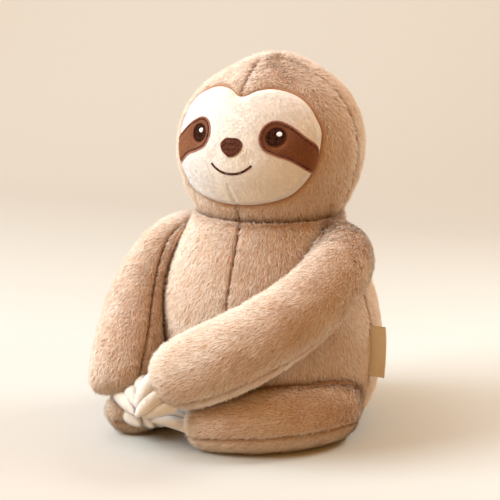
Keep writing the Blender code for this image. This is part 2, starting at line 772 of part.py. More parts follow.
def build():
    torso = torso_form()
    head = head_form()
    left_leg_line, left_leg = leg_form("left_leg", LEFT_LEG_SHARES)
    right_leg_line, right_leg = leg_form("right_leg", RIGHT_LEG_SHARES)
    right_arm_line, right_arm = arm_form("right_arm", RIGHT_ARM_SHARES)
    left_arm_line, left_arm = arm_form("left_arm", LEFT_ARM_SHARES)

    make_torso(torso)
    make_face(head, make_head(head))
    mirror = Vector((-1, 1, 1))
    hip_left = torso_place(HIP_SHARE)
    hip_right = hip_left * mirror
    shoulder_left = torso_place(SHOULDER_SHARE)
    shoulder_right = shoulder_left * mirror
    leg_shape = (left_leg, left_leg_line, LEG_RADIUS, LEFT_LEG_SEAM)
    make_limb("left_leg", *leg_shape, (torso, right_leg), hip_left, 0)
    leg_shape = (right_leg, right_leg_line, LEG_RADIUS, RIGHT_LEG_SEAM)
    make_limb("right_leg", *leg_shape, (torso,), hip_right, 0)
    press = (torso, head, left_leg, right_leg)
    arm_shape = (right_arm, right_arm_line, ARM_RADIUS, RIGHT_ARM_SEAM)
    make_limb("right_arm", *arm_shape, press, shoulder_right, HAND_REST)
    press += (right_arm,)
    arm_shape = (left_arm, left_arm_line, ARM_RADIUS, LEFT_ARM_SEAM)
    make_limb("left_arm", *arm_shape, press, shoulder_left)

    press += (left_arm,)
    pivots = {
        "left_hand": shoulder_left,
        "right_hand": shoulder_right,
        "left_foot": hip_left,
        "right_foot": hip_right,
    }
    for name, (root, tip) in CLAW_SHARES.items():
        form = claw_form(name, torso_place(root), torso_place(tip))
        solid = stuffed(form, 0, press, 0)
        press += (form,)
        finished(solid, name, "minky", pivots[name.rsplit("_claw", 1)[0]])
    make_label(torso, torso_place(LABEL_ROOT_SHARE))
    for tool in list(TOOLS.objects):
        bpy.data.objects.remove(tool)


build()
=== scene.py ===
# %% [markdown]
# # A plush sloth that sits and hugs itself
# The toy is made of sewn plush covers over soft filling. Blender has to show three things that make it
# read as plush: full, soft forms, seams that pull the cloth in, and a pile of short silky hairs. The
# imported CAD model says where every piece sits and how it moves. This script dresses it.

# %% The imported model
import json
import math

import bmesh
import bpy
import numpy as np
from mathutils import Matrix, Vector
from mathutils.bvhtree import BVHTree
from mathutils.kdtree import KDTree

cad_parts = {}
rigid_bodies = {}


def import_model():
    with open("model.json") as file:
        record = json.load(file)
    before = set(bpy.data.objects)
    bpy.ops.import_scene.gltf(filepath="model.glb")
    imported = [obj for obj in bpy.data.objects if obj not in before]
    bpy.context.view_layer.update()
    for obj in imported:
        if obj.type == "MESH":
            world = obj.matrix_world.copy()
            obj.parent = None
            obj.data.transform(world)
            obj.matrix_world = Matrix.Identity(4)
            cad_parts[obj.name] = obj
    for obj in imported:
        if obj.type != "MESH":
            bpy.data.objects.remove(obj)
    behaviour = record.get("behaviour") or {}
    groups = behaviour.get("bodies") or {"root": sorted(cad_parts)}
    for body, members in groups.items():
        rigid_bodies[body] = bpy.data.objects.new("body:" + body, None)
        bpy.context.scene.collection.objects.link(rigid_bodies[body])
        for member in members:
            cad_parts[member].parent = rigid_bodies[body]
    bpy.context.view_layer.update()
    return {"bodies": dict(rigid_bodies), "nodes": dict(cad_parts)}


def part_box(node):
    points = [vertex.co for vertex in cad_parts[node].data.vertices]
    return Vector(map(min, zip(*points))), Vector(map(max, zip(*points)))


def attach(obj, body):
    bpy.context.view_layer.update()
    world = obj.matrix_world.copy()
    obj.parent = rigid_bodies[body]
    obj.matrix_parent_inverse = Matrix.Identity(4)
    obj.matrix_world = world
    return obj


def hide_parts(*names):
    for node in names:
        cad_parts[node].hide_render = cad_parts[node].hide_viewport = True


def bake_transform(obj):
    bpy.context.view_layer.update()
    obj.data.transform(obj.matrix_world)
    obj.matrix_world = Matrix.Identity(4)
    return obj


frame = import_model()
MM = 0.001

# %% [markdown]
# ## The sizes of the forms
# Each stuffed form is a row of rings: a height and a radius for the torso and the head, a place and two
# radii for a limb. They are the same rings as in the CAD source, so that the cloth lies where the
# solids are. Lengths are shares of the torso's or the head's own size.

# %% Rings of the torso and the head
TORSO_SIZE = np.array((0.092, 0.0885, 0.172))
HEAD_SIZE = np.array((0.0755, 0.0725, 0.126))
NECK_HEIGHT = 0.172
MUZZLE_REACH = 0.008
SIDE_SEAM_Y = -0.09 * TORSO_SIZE[1]
BASE_RADIUS = 0.056

# Height, radius and lean of each ring
TORSO_RINGS = (
    (-0.006, 0.65, 0.0),
    (0.045, 0.86, 0.0),
    (0.22, 0.985, -0.01),
    (0.45, 1.015, -0.025),
    (0.68, 0.925, -0.045),
    (0.9, 0.725, -0.05),
    (1.1, 0.58, -0.02),
)
# Height, radius, lean, and the muzzle's reach at the front and beside it
HEAD_RINGS = (
    (-0.12, 0.58, 0.0, 0.0, 0.0),
    (0.0, 0.765, 0.0, 0.2, 0.1),
    (0.17, 0.925, 0.0, 0.85, 0.25),
    (0.38, 1.015, 0.015, 1.1, 0.3),
    (0.57, 0.975, 0.03, 0.75, 0.2),
    (0.75, 0.83, 0.06, 0.2, 0.05),
    (0.885, 0.56, 0.11, 0.0, 0.0),
    (0.995, 0.17, 0.15, 0.0, 0.0),
)

# %% Rings of the limbs
ARM_RADIUS = 0.029
LEG_RADIUS = 0.0262
FLAT_DEPTH = 0.0005
FOOT_SHARE = 0.71
HAND_REST = 2 * FOOT_SHARE * LEG_RADIUS + 0.0003

LEFT_ARM_RINGS = (
    (0.5, 0.029, 0.835, 0.62, 0.62),
    (0.7, -0.12, 0.862, 0.83, 0.83),
    (0.868, -0.47, 0.836, 0.9, 0.91),
    (0.765, -0.9, 0.7, 0.95, 0.97),
    (0.4, -1.2, 0.54, 1.02, 1.02),
    (-0.08, -1.29, 0.405, 1.07, 1.08),
    (-0.46, -1.275, 0.315, 0.8, 0.82),
)
RIGHT_ARM_RINGS = (
    (-0.53, 0.049, 0.835, 0.62, 0.62),
    (-0.81, -0.015, 0.862, 0.8, 0.8),
    (-0.97, -0.27, 0.735, 0.88, 0.88),
    (-1.0, -0.6, 0.565, 0.95, 0.95),
    (-0.94, -0.87, 0.43, 0.99, 0.98),
    (-0.9, -1.08, 0.31, 0.99, 0.98),
    (-0.875, -1.2, 0.21, 0.86, 0.82),
)
LEFT_LEG_RINGS = (
    (0.67, -0.155, 0.74, 0.74),
    (0.775, -0.37, 1.03, 1.03),
    (0.63, -0.68, 1.04, 1.04),
    (0.33, -0.99, 0.99, 0.99),
    (-0.05, -1.115, 0.87, 0.86),
    (-0.26, -1.095, 0.6, 0.58),
)
RIGHT_LEG_RINGS = (
    (-0.67, -0.135, 0.72, 0.72),
    (-0.8, -0.34, 0.94, 0.86),
    (-0.87, -0.62, 0.98, 0.78),
    (-0.905, -0.86, 0.97, FOOT_SHARE),
    (-0.885, -1.0, 0.88, FOOT_SHARE),
    (-0.85, -1.11, 0.58, 0.52),
)

# %% [markdown]
# ## Camera and light
# The photograph was taken from a little above and to the toy's left, with a long lens. A large soft key
# light stands up and to the left of the camera, a second one hangs above it, and a small one brightens
# the floor behind the toy. The pale room fills the shadows with warm light.

# %% The camera
AZIMUTH, ELEVATION, DISTANCE = math.radians(24), math.radians(12), 1.3
AIM_HEIGHT, AIM_SHIFT = 0.139, 0.0162
SENSOR, FOCAL_PIXELS, PICTURE_PIXELS = 36, 1617, 500
level = math.cos(ELEVATION)
back = Vector((math.sin(AZIMUTH) * level, -math.cos(AZIMUTH) * level, math.sin(ELEVATION)))
right = Vector((math.cos(AZIMUTH), math.sin(AZIMUTH), 0))
upward = back.cross(right)
aim = Vector((0, 0, AIM_HEIGHT)) - right * AIM_SHIFT
camera = bpy.data.objects.new("camera", bpy.data.cameras.new("camera"))
bpy.context.scene.collection.objects.link(camera)
axes = Matrix((right, upward, back)).transposed().to_4x4()
camera.matrix_world = Matrix.Translation(aim + back * DISTANCE) @ axes
camera.data.sensor_width = SENSOR
camera.data.lens = SENSOR * FOCAL_PIXELS / PICTURE_PIXELS
camera.data.clip_start = 0.05
bpy.context.scene.camera = camera
bpy.context.scene.view_settings.view_transform = "Standard"
print("camera", tuple(round(x, 3) for x in camera.location))


# %% Lights
def soft_light(name, place, target, size, power, colour):
    """A square area light that faces a point."""
    data = bpy.data.lights.new(name, "AREA")
    data.shape = "SQUARE"
    data.size = size
    data.energy = power
    data.color = colour
    lamp = bpy.data.objects.new(name, data)
    bpy.context.scene.collection.objects.link(lamp)
    lamp.location = place
    lamp.rotation_euler = (Vector(target) - Vector(place)).to_track_quat("-Z", "Y").to_euler()
    return lamp


MIDDLE = (0, 0, 0.14)
soft_light("key_light", (-1.35, -1.1, 1.35), MIDDLE, 1.3, 69.0, (0.72, 0.875, 1.0))
soft_light("top_light", (-0.8, -0.5, 1.9), MIDDLE, 1.2, 22.0, (0.62, 0.75, 1.0))
floor_light = soft_light("floor_light", (0.95, 0.7, 1.2), (0.45, 0.2, 0), 0.5, 3.4, (0.84, 0.93, 1.0))
floor_light.data.spread = math.radians(70)

world = bpy.data.worlds.new("room")
bpy.context.scene.world = world
world.use_nodes = True
background = world.node_tree.nodes["Background"]
background.inputs["Color"].default_value = (1.0, 0.52, 0.145, 1)
background.inputs["Strength"].default_value = 0.85


# %% [markdown]
# ## Materials from nodes
# Plush, minky cloth, satin thread and ribbon all need colour that varies a little. A few short helpers
# build the node trees. What several finishes share, the blotchy tone of pile and the fine bump of cloth,
# is a node group.

# %% Node helpers
def add(tree, kind, inputs=(), **settings):
    """A node with its settings, and its inputs as numbers or as sockets to link."""
    node = tree.nodes.new(kind)
    for name, value in settings.items():
        setattr(node, name, value)
    for key, value in dict(inputs).items():
        if isinstance(value, bpy.types.NodeSocket):
            tree.links.new(value, node.inputs[key])
        else:
            node.inputs[key].default_value = value
    return node


def maths(tree, operation, *values, clamp=False):
    """The result of a Math node."""
    return add(tree, "ShaderNodeMath", enumerate(values), operation=operation, use_clamp=clamp).outputs[0]


def mixed(tree, share, low, high):
    """Two colours mixed by a share."""
    return add(tree, "ShaderNodeMix", {0: share, 6: low, 7: high}, data_type="RGBA").outputs[2]


def new_group(name, kind, inputs, outputs):
    """A node group with named sockets, given as (name, socket type, default)."""
    tree = bpy.data.node_groups.new(name, kind)
    for label, socket, value in inputs:
        item = tree.interface.new_socket(label, in_out="INPUT", socket_type="NodeSocket" + socket)
        if value is not None:
            item.default_value = value
    for label, socket in outputs:
        tree.interface.new_socket(label, in_out="OUTPUT", socket_type="NodeSocket" + socket)
    return tree, tree.nodes.new("NodeGroupInput"), tree.nodes.new("NodeGroupOutput")


def read(tree, name, kind="Fac"):
    """A value, or a vector, that is stored on the mesh."""
    return add(tree, "ShaderNodeAttribute", attribute_name=name).outputs[kind]


def linear(red, green, blue):
    """An sRGB colour, as it is picked on a screen, in the linear values that a shader needs."""
    out = []
    for value in (red / 255, green / 255, blue / 255):
        out.append(value / 12.92 if value <= 0.04045 else ((value + 0.055) / 1.055) ** 2.4)
    return (*out, 1.0)


# %% The blotchy tone of pile
def make_tone_group():
    """Soft blotches and fine streaks between a deep and a light colour."""
    group, given, out = new_group(
        "pile_tone",
        "ShaderNodeTree",
        (
            ("Place", "Vector", None),
            ("Deep", "Color", (0.2, 0.1, 0.05, 1)),
            ("Light", "Color", (0.6, 0.4, 0.25, 1)),
            ("Lift", "Float", 0.5),
            ("Blotch", "Float", 0.35),
        ),
        (("Colour", "Color"), ("Tone", "Float")),
    )
    wide = add(group, "ShaderNodeTexNoise", {"Vector": given.outputs["Place"], "Scale": 38.0, "Detail": 2.0})
    fine = add(group, "ShaderNodeTexNoise", {"Vector": given.outputs["Place"], "Scale": 420.0, "Detail": 2.0})
    blotches = maths(group, "ADD", wide.outputs[0], fine.outputs[0])
    centred = maths(group, "SUBTRACT", blotches, 1.0)
    swing = maths(group, "MULTIPLY", centred, given.outputs["Blotch"])
    tone = maths(group, "ADD", given.outputs["Lift"], swing, clamp=True)
    colour = mixed(group, tone, given.outputs["Deep"], given.outputs["Light"])
    group.links.new(colour, out.inputs["Colour"])
    group.links.new(tone, out.inputs["Tone"])
    return group


TONE = make_tone_group()


def toned(tree, place, deep, light, lift, blotch):
    """The blotchy tone between two colours."""
    values = {"Place": place, "Deep": deep, "Light": light, "Lift": lift, "Blotch": blotch}
    return add(tree, "ShaderNodeGroup", values, node_tree=TONE).outputs["Colour"]


# %% Finishes
def new_material(name, roughness=0.9, sheen=0.0, sheen_tint=(1, 1, 1, 1)):
    """A material with its Principled shader's plain numbers set on the shader itself."""
    material = bpy.data.materials.new(name)
    material.use_nodes = True
    tree = material.node_tree
    shader = tree.nodes["Principled BSDF"]
    shader.inputs["Roughness"].default_value = roughness
    shader.inputs["Specular IOR Level"].default_value = 0.2
    shader.inputs["Sheen Weight"].default_value = sheen
    shader.inputs["Sheen Roughness"].default_value = 0.45
    shader.inputs["Sheen Tint"].default_value = sheen_tint
    return material, tree, shader


PLUSH_DEEP = linear(219, 173, 136)
PLUSH_LIGHT = linear(255, 239, 217)
# The colour of the painted shade in seams and in folds between forms
PAINTED_CREASE_SHADE = linear(112, 66, 38)


def with_painted_crease_shade(tree, colour):
    """A colour darkened where painted shade of a seam or of a fold between forms is stored."""
    return mixed(tree, maths(tree, "MULTIPLY", read(tree, "seam_shade"), 0.75), colour, PAINTED_CREASE_SHADE)


def pile_material(name, deep, light, root, blotch, sheen):
    """Hairs: one tone from root to tip, a little different from hair to hair, with painted shade that darkens
    each hair towards its root.
    """
    material, tree, shader = new_material(name, 0.75, sheen, light)
    own = maths(tree, "MULTIPLY_ADD", read(tree, "strand_random"), 0.34, 0.36)
    tone = toned(tree, read(tree, "root_place", "Vector"), deep, light, own, blotch)
    # Painted shade: each hair goes towards black at its root, as it would be shaded deep in the pile
    shade = maths(tree, "MULTIPLY_ADD", read(tree, "along"), 1.0 - root, root, clamp=True)
    dark = mixed(tree, shade, (0, 0, 0, 1), tone)
    tree.links.new(with_painted_crease_shade(tree, dark), shader.inputs["Base Color"])
    return material


def bumped(tree, shader, height, strength, distance):
    """Gives a shader a fine bump."""
    bump = add(tree, "ShaderNodeBump", {"Strength": strength, "Distance": distance, "Height": height})
    tree.links.new(bump.outputs[0], shader.inputs["Normal"])


def cloth_material(name, deep, light, scale, strength, sheen):
    """Cloth under or without a pile: the same tone, with painted shade in seams and folds, and a fine bump."""
    material, tree, shader = new_material(name, 0.9, sheen, light)
    place = add(tree, "ShaderNodeTexCoord").outputs["Object"]
    tone = toned(tree, place, deep, light, 0.5, 0.35)
    tree.links.new(with_painted_crease_shade(tree, tone), shader.inputs["Base Color"])
    nap = add(tree, "ShaderNodeTexNoise", {"Vector": place, "Scale": scale, "Detail": 4.0, "Roughness": 0.65})
    bumped(tree, shader, nap.outputs[0], strength, 1 * MM)
    return material


PLUSH_PILE = pile_material("plush_pile", PLUSH_DEEP, PLUSH_LIGHT, 0.73, 0.7, 0.2)
PLUSH_GROUND = cloth_material("plush_ground", linear(186, 140, 104), linear(214, 170, 134), 900, 0.8, 0.1)
print("finishes", PLUSH_PILE.name, PLUSH_GROUND.name)

# %% [markdown]
# ## Full, smooth forms
# The CAD rings are few. A cubic B-spline through the same rings gives the smooth form that Subdivision
# Surface tends to, but with as many points as the seams and creases need. Each form is kept as an array
# of rows and columns of points while it is shaped, which is faster than editing a mesh.

# %% Splines
def unit(vectors, least=1e-9):
    """The same directions, each of length one."""
    return vectors / np.maximum(np.linalg.norm(vectors, axis=-1, keepdims=True), least)


def run_along(line):
    """How far along a line each of its points lies."""
    return np.concatenate(([0], np.cumsum(np.linalg.norm(np.diff(line, axis=0), axis=1))))


def b_spline(controls, t):
    """A uniform cubic B-spline: controls by rows, read at places t counted in controls."""
    controls = np.asarray(controls, float)
    whole = np.floor(t).astype(int)
    f = (t - whole)[:, None]
    weights = (
        (1 - f) ** 3 / 6,
        (3 * f**3 - 6 * f**2 + 4) / 6,
        (-3 * f**3 + 3 * f**2 + 3 * f + 1) / 6,
        f**3 / 6,
    )
    last = len(controls) - 1
    return sum(w * controls[np.clip(whole + k - 1, 0, last)] for k, w in enumerate(weights))


def even_steps(measure, first, last, spacing):
    """Places between first and last that lie evenly on the curve that measure gives."""
    fine = np.linspace(first, last, 800)
    run = run_along(measure(fine))
    count = max(8, int(round(run[-1] / spacing)))
    return np.interp(np.linspace(0, run[-1], count + 1), run, fine)


def with_poles(rows, radius_columns):
    """Ring rows continued through both poles, where the radii pass through nought."""
    rows = [list(row) for row in rows]

    def flipped(row, factor):
        return [value * factor if i in radius_columns else value for i, value in enumerate(row)]

    start = [flipped(rows[1], -1), flipped(rows[0], -1), flipped(rows[0], 0)]
    end = [flipped(rows[-1], 0), flipped(rows[-1], -1), flipped(rows[-2], -1)]
    return np.array(start + rows + end)


SPACING = 2.3 * MM


# %% The torso and the head
def upright_points(rings, size, base, muzzle=False):
    """Rows and columns of points of a form about the Z axis. The first column is at the very front."""
    controls = with_poles(rings, range(1, 2))
    first, last = 2, len(controls) - 3

    def outline(t):
        row = b_spline(controls, t)
        return np.stack((row[:, 1] * size[0], row[:, 0] * size[2]), 1)

    t = even_steps(outline, first, last, SPACING)
    row = b_spline(controls, t)
    columns = int(round(2 * math.pi * size[0] / SPACING / 4)) * 4
    angle = 2 * math.pi * np.arange(columns) / columns - math.pi / 2
    x = row[:, 1:2] * size[0] * np.cos(angle)
    y = row[:, 1:2] * size[1] * np.sin(angle) + row[:, 2:3] * size[1]
    z = np.repeat(row[:, 0:1] * size[2] + base, columns, axis=1)
    if muzzle:
        turn = 8 * np.arange(columns) / columns
        for k, column in ((0, 3), (1, 4), (7, 4)):
            away = np.abs((turn - k + 4) % 8 - 4)
            near = np.where(away < 1, (4 - 6 * away**2 + 3 * away**3) / 6, np.clip(2 - away, 0, 2) ** 3 / 6)
            y += np.maximum(row[:, column : column + 1], 0) * MUZZLE_REACH * near * np.sin(angle)
    return np.stack((x, y, z), 2)


# %% The limbs
def torso_place(shares):
    """A place given in shares of the torso's half width, half depth and height."""
    return np.asarray(shares, float) * TORSO_SIZE


def tube_points(centres, radii, spacing=SPACING, columns=None):
    """Rows and columns of points of a stuffed tube, and the direction in which each row runs."""
    centres = np.array(centres)
    rows = np.hstack((centres, np.array(radii), unit(np.gradient(centres, axis=0))))
    controls = with_poles(rows, (3, 4))
    first, last = 2, len(controls) - 3

    def outline(t):
        row = b_spline(controls, t)
        return np.hstack((row[:, :3], row[:, 4:5]))

    t = even_steps(outline, first, last, spacing)
    row = b_spline(controls, t)
    way = unit(row[:, 5:8])
    across = unit(np.cross((0, 0, 1), way))
    up = np.cross(way, across)
    if columns is None:
        columns = int(round(2 * math.pi * np.max(np.abs(radii)) / spacing / 4)) * 4
    angle = 2 * math.pi * np.arange(columns) / columns
    points = row[:, None, :3] + (
        across[:, None] * (row[:, None, 3:4] * np.cos(angle)[None, :, None])
        + up[:, None] * (row[:, None, 4:5] * np.sin(angle)[None, :, None])
    )
    return points, way


def arm_rings(rings):
    """Centres and radii of an arm."""
    centres = [torso_place(row[:3]) for row in rings]
    return centres, [(row[3] * ARM_RADIUS, row[4] * ARM_RADIUS) for row in rings]


def leg_rings(rings):
    """Centres and radii of a leg, which lies on the ground."""
    centres = []
    for x, y, _, height in rings:
        centres.append((x * TORSO_SIZE[0], y * TORSO_SIZE[1], height * LEG_RADIUS - FLAT_DEPTH))
    return centres, [(row[2] * LEG_RADIUS, row[3] * LEG_RADIUS) for row in rings]


# %% A closed mesh from rows and columns
def grid_faces(rows, columns):
    """Triangles and quads of a closed form: a pole, the rows between, and a pole."""
    inner = np.arange((rows - 2) * columns).reshape(rows - 2, columns) + 1
    after = np.roll(inner, -1, axis=1)
    quads = np.stack((inner[:-1], after[:-1], after[1:], inner[1:]), 2).reshape(-1, 4)
    first = [(0, b, a) for a, b in zip(inner[0], after[0])]
    pole = (rows - 2) * columns + 1
    last = [(pole, a, b) for a, b in zip(inner[-1], after[-1])]
    return [tuple(int(i) for i in q) for q in quads] + [tuple(map(int, f)) for f in first + last]


class Form:
    """A stuffed form: its points, its faces and the way its pile lies."""

    def __init__(self, name, points, flow):
        rows, columns = points.shape[:2]
        self.name = name
        self.shape = (rows, columns)
        self.points = np.vstack((points[0, :1], points[1:-1].reshape(-1, 3), points[-1, :1]))
        self.flow = np.vstack((flow[0, :1], flow[1:-1].reshape(-1, 3), flow[-1, :1]))
        self.faces = grid_faces(rows, columns)
        if self.volume() < 0:
            self.faces = [face[::-1] for face in self.faces]
        self.column = np.concatenate(([0], np.tile(np.arange(columns), rows - 2), [0]))

    def triangles(self):
        """The corners of each triangle, with quads cut in two."""
        out = []
        for face in self.faces:
            out.append(face[:3])
            if len(face) == 4:
                out.append((face[0], face[2], face[3]))
        return np.array(out)

    def volume(self):
        """Six times the volume within, less than nought where the faces point inwards."""
        corners = self.points[self.triangles()]
        return float(np.einsum("ij,ij->i", corners[:, 0], np.cross(corners[:, 1], corners[:, 2])).sum())

    def normals(self):
        """The direction square to the cloth at each point."""
        corners = self.triangles()
        p = self.points[corners]
        face = np.cross(p[:, 1] - p[:, 0], p[:, 2] - p[:, 0])
        total = np.zeros_like(self.points)
        for k in range(3):
            np.add.at(total, corners[:, k], face)
        return unit(total, 1e-12)

    def tree(self):
        """What depth_in needs to measure against this form."""
        corners = self.triangles()
        tree = BVHTree.FromPolygons([Vector(p) for p in self.points], [tuple(c) for c in corners.tolist()])
        return tree, self.normals(), corners


def downward_flow(points):
    """On an upright form the pile lies down the surface."""
    flow = np.zeros_like(points)
    flow[1:-1] = points[:-2] - points[2:]
    flow[0], flow[-1] = flow[1], flow[-2]
    return unit(flow)


torso_points = upright_points(TORSO_RINGS, TORSO_SIZE, 0.0)
torso_points[:, :, 2] = np.clip(torso_points[:, :, 2], 0.0, NECK_HEIGHT - 0.3 * MM)
head_points = upright_points(HEAD_RINGS, HEAD_SIZE, NECK_HEIGHT, muzzle=True)
head_points[:, :, 2] = np.maximum(head_points[:, :, 2], NECK_HEIGHT + 0.3 * MM)
FORMS = {
    "torso": Form("torso", torso_points, downward_flow(torso_points)),
    "head": Form("head", head_points, downward_flow(head_points)),
}
for name, rings in (
    ("right_leg", leg_rings(RIGHT_LEG_RINGS)),
    ("left_leg", leg_rings(LEFT_LEG_RINGS)),
    ("right_arm", arm_rings(RIGHT_ARM_RINGS)),
    ("left_arm", arm_rings(LEFT_ARM_RINGS)),
):
    points, way = tube_points(*rings)
    FORMS[name] = Form(name, points, np.repeat(way[:, None], points.shape[1], axis=1))
print({name: form.shape for name, form in FORMS.items()})

# %% [markdown]
# ## Cloth that gives way
# Where an arm lies on the belly, both are soft, and the smaller form flattens against the larger one.
# Each point of a limb that would lie inside a larger form is moved out to its surface, and the edge of
# that dent is smoothed, as the filling would do it. Points that lie deep inside belong to the sewn-in
# end of the limb and stay there, out of sight.

# %% Pressing one form on another
TOUCH = 0.7 * MM
SEWN_IN_DEPTHS = 3 * MM, 11 * MM


def neighbours(form):
    """Every pair of points that share an edge, both ways round."""
    pairs = set()
    for face in form.faces:
        for a, b in zip(face, face[1:] + face[:1]):
            pairs.add((a, b))
            pairs.add((b, a))
    return np.array(sorted(pairs))


def depth_in(points, other):
    """How far each point is outside a closed form, with the nearest place and direction there."""
    tree, corner_normals, corners = other
    found = [tree.find_nearest(Vector(p)) for p in points]
    place = np.array([hit[0] for hit in found])
    normal = unit(corner_normals[corners[[hit[2] for hit in found]]].sum(1))
    away = points - place
    square = np.array([hit[1] for hit in found])
    side = np.where(np.einsum("ij,ij->i", away, square) < 0, -1, 1)
    return side * np.linalg.norm(away, axis=1), place, normal


def press(form, others, floor=0.0):
    """Moves what lies inside a larger form out to its surface."""
    pairs = neighbours(form)
    counts = np.bincount(pairs[:, 0], minlength=len(form.points))[:, None]
    for smoothing in (4, 2, 0):
        moved = form.points[:, 2] < floor
        form.points[:, 2] = np.maximum(form.points[:, 2], floor)
        for other in others:
            outside, place, normal = depth_in(form.points, other)
            start, end = SEWN_IN_DEPTHS
            kept = np.clip((-outside - start) / (end - start), 0, 1)[:, None]
            inside = outside < TOUCH
            goal = form.points * kept + (place + normal * TOUCH) * (1 - kept)
            form.points[inside] = goal[inside]
            moved |= (outside < TOUCH * 3) & (kept[:, 0] < 0.5)
        for _ in range(smoothing):
            mean = np.zeros_like(form.points)
            np.add.at(mean, pairs[:, 0], form.points[pairs[:, 1]])
            form.points[moved] = (mean / counts)[moved]


UNPRESSED = {name: form.tree() for name, form in FORMS.items() if name not in ("torso", "head")}
for name, larger, floor in (
    ("right_leg", ("torso",), 0.0),
    ("left_leg", ("torso", "right_leg"), 0.0),
    ("right_arm", ("torso", "head", "left_leg", "right_leg"), HAND_REST),
    ("left_arm", ("torso", "head", "left_leg", "right_leg", "right_arm"), 0.0),
):
    press(FORMS[name], [FORMS[other].tree() for other in larger], floor)
print("pressed", {name: round(form.volume() / 6 * 1e6) for name, form in FORMS.items()})

# %% [markdown]
# ## Seams pull the cloth in
# The panels of a toy are sewn inside out, so a seam shows as a narrow groove with small gathers beside
# it. Each seam is a line of points on the form. A point of the cloth sinks by how near it is to the
# line, and the gathers are waves along the line that die away from it.

# %% Seam lines
LIMB_SEAMS = {"left_arm": -50, "right_arm": 45, "left_leg": -20, "right_leg": 200}
LINE_STEP = 0.5 * MM


def resampled(line):
    """The same line with evenly spaced points."""
    run = run_along(line)
    places = np.arange(0, run[-1], LINE_STEP)
    return np.stack([np.interp(places, run, line[:, k]) for k in range(3)], 1)


def column_line(points, column):
    """The line down a form at a column, which may lie between two."""
    low = int(math.floor(column))
    share = column - low
    count = points.shape[1]
    return points[:, low % count] * (1 - share) + points[:, (low + 1) % count] * share


def level_line(points, y, side):
    """The line down an upright form where it crosses a plane square to Y, on one side."""
    out = []
    for ring in points:
        half = ring[(ring[:, 0] * side) >= 0]
        half = half[np.argsort(half[:, 1])]
        if half[0, 1] < y < half[-1, 1]:
            out.append([np.interp(y, half[:, 1], half[:, k]) for k in range(3)])
    return np.array(out)


def form_rows(form):
    """A form's points as rows and columns again, with its poles repeated."""
    rows, columns = form.shape
    inner = form.points[1:-1].reshape(rows - 2, columns, 3)
    first = np.repeat(form.points[:1], columns, axis=0)[None]
    last = np.repeat(form.points[-1:], columns, axis=0)[None]
    return np.concatenate((first, inner, last))


def seam_lean(height):
    """The head's centre seam leans a little to the toy's right above the nose and at the chin."""
    return -np.interp(height, (0.185, 0.215, 0.245, 0.3), (1.5 * MM, 0, 0, 7.3 * MM))


SEAMS = {}
for name, side_y in (("torso", SIDE_SEAM_Y), ("head", 0.0)):
    rows = form_rows(FORMS[name])
    SEAMS[name] = {
        "centre_front": column_line(rows, 0),
        "left_side": level_line(rows, side_y, 1),
        "right_side": level_line(rows, side_y, -1),
    }
leaning_seam = SEAMS["head"]["centre_front"]
leaning_seam[:, 0] += seam_lean(leaning_seam[:, 2])
SEAMS["head"]["centre_front"] = depth_in(leaning_seam, FORMS["head"].tree())[1]
for name, degrees in LIMB_SEAMS.items():
    columns = FORMS[name].shape[1]
    place = degrees / 360 * columns
    rows = form_rows(FORMS[name])
    SEAMS[name] = {
        "one": column_line(rows, place % columns),
        "other": column_line(rows, (place + columns / 2) % columns),
    }
circle = 2 * math.pi * np.arange(240) / 240
SEAMS["torso"]["base"] = np.stack(
    (BASE_RADIUS * np.cos(circle), BASE_RADIUS * np.sin(circle), np.zeros(240)), 1
)
SEAMS = {form: {name: resampled(line) for name, line in lines.items()} for form, lines in SEAMS.items()}
print({form: {name: len(line) for name, line in lines.items()} for form, lines in SEAMS.items()})

# %% The face's outline
HEAD_MIDDLE = 0.45
FACE_HALF = (
    (0.0, 0.775),
    (0.055, 0.781),
    (0.15, 0.808),
    (0.29, 0.82),
    (0.45, 0.803),
    (0.60, 0.757),
    (0.72, 0.67),
    (0.80, 0.525),
    (0.755, 0.335),
    (0.58, 0.185),
    (0.31, 0.122),
    (0.0, 0.105),
)


def on_head(share, side=1):
    """A point of the face in front view."""
    return np.array((side * share[0] * HEAD_SIZE[0], NECK_HEIGHT + share[1] * HEAD_SIZE[2]))


def smooth_loop(points, steps):
    """A closed smooth curve through points in front view."""
    points = np.asarray(points, float)
    out = []
    count = len(points)
    for i in range(count):
        p0, p1, p2, p3 = (points[(i + k - 1) % count] for k in range(4))
        for t in np.arange(steps) / steps:
            out.append(
                0.5 * (2 * p1 + (p2 - p0) * t + (2 * p0 - 5 * p1 + 4 * p2 - p3) * t**2)
                + 0.5 * (3 * p1 - p0 - 3 * p2 + p3) * t**3
            )
    return np.array(out)


def loop_distance(places, loop):
    """How far places in front view are inside a closed outline, less than nought outside it."""
    places = np.asarray(places, float)
    after = np.roll(loop, -1, axis=0)
    best = np.full(len(places), 1e9)
    odd = np.zeros(len(places), bool)
    for a, b in zip(loop, after):
        edge = b - a
        share = np.clip((places - a) @ edge / max(edge @ edge, 1e-18), 0, 1)
        best = np.minimum(best, np.linalg.norm(places - a - share[:, None] * edge, axis=1))
        crosses = (a[1] > places[:, 1]) != (b[1] > places[:, 1])
        with np.errstate(divide="ignore", invalid="ignore"):
            at = (b[0] - a[0]) * (places[:, 1] - a[1]) / (b[1] - a[1]) + a[0]
        odd ^= crosses & (places[:, 0] < at)
    return np.where(odd, best, -best)


face_half = [on_head(share) for share in FACE_HALF]
face_other = [np.array((-p[0], p[1])) for p in reversed(face_half[1:-1])]
FACE_LOOP = smooth_loop(face_half + face_other, 12)
FACE_LOOP[:, 0] += 0.9 * seam_lean(FACE_LOOP[:, 1])
print("face outline", len(FACE_LOOP), "points")


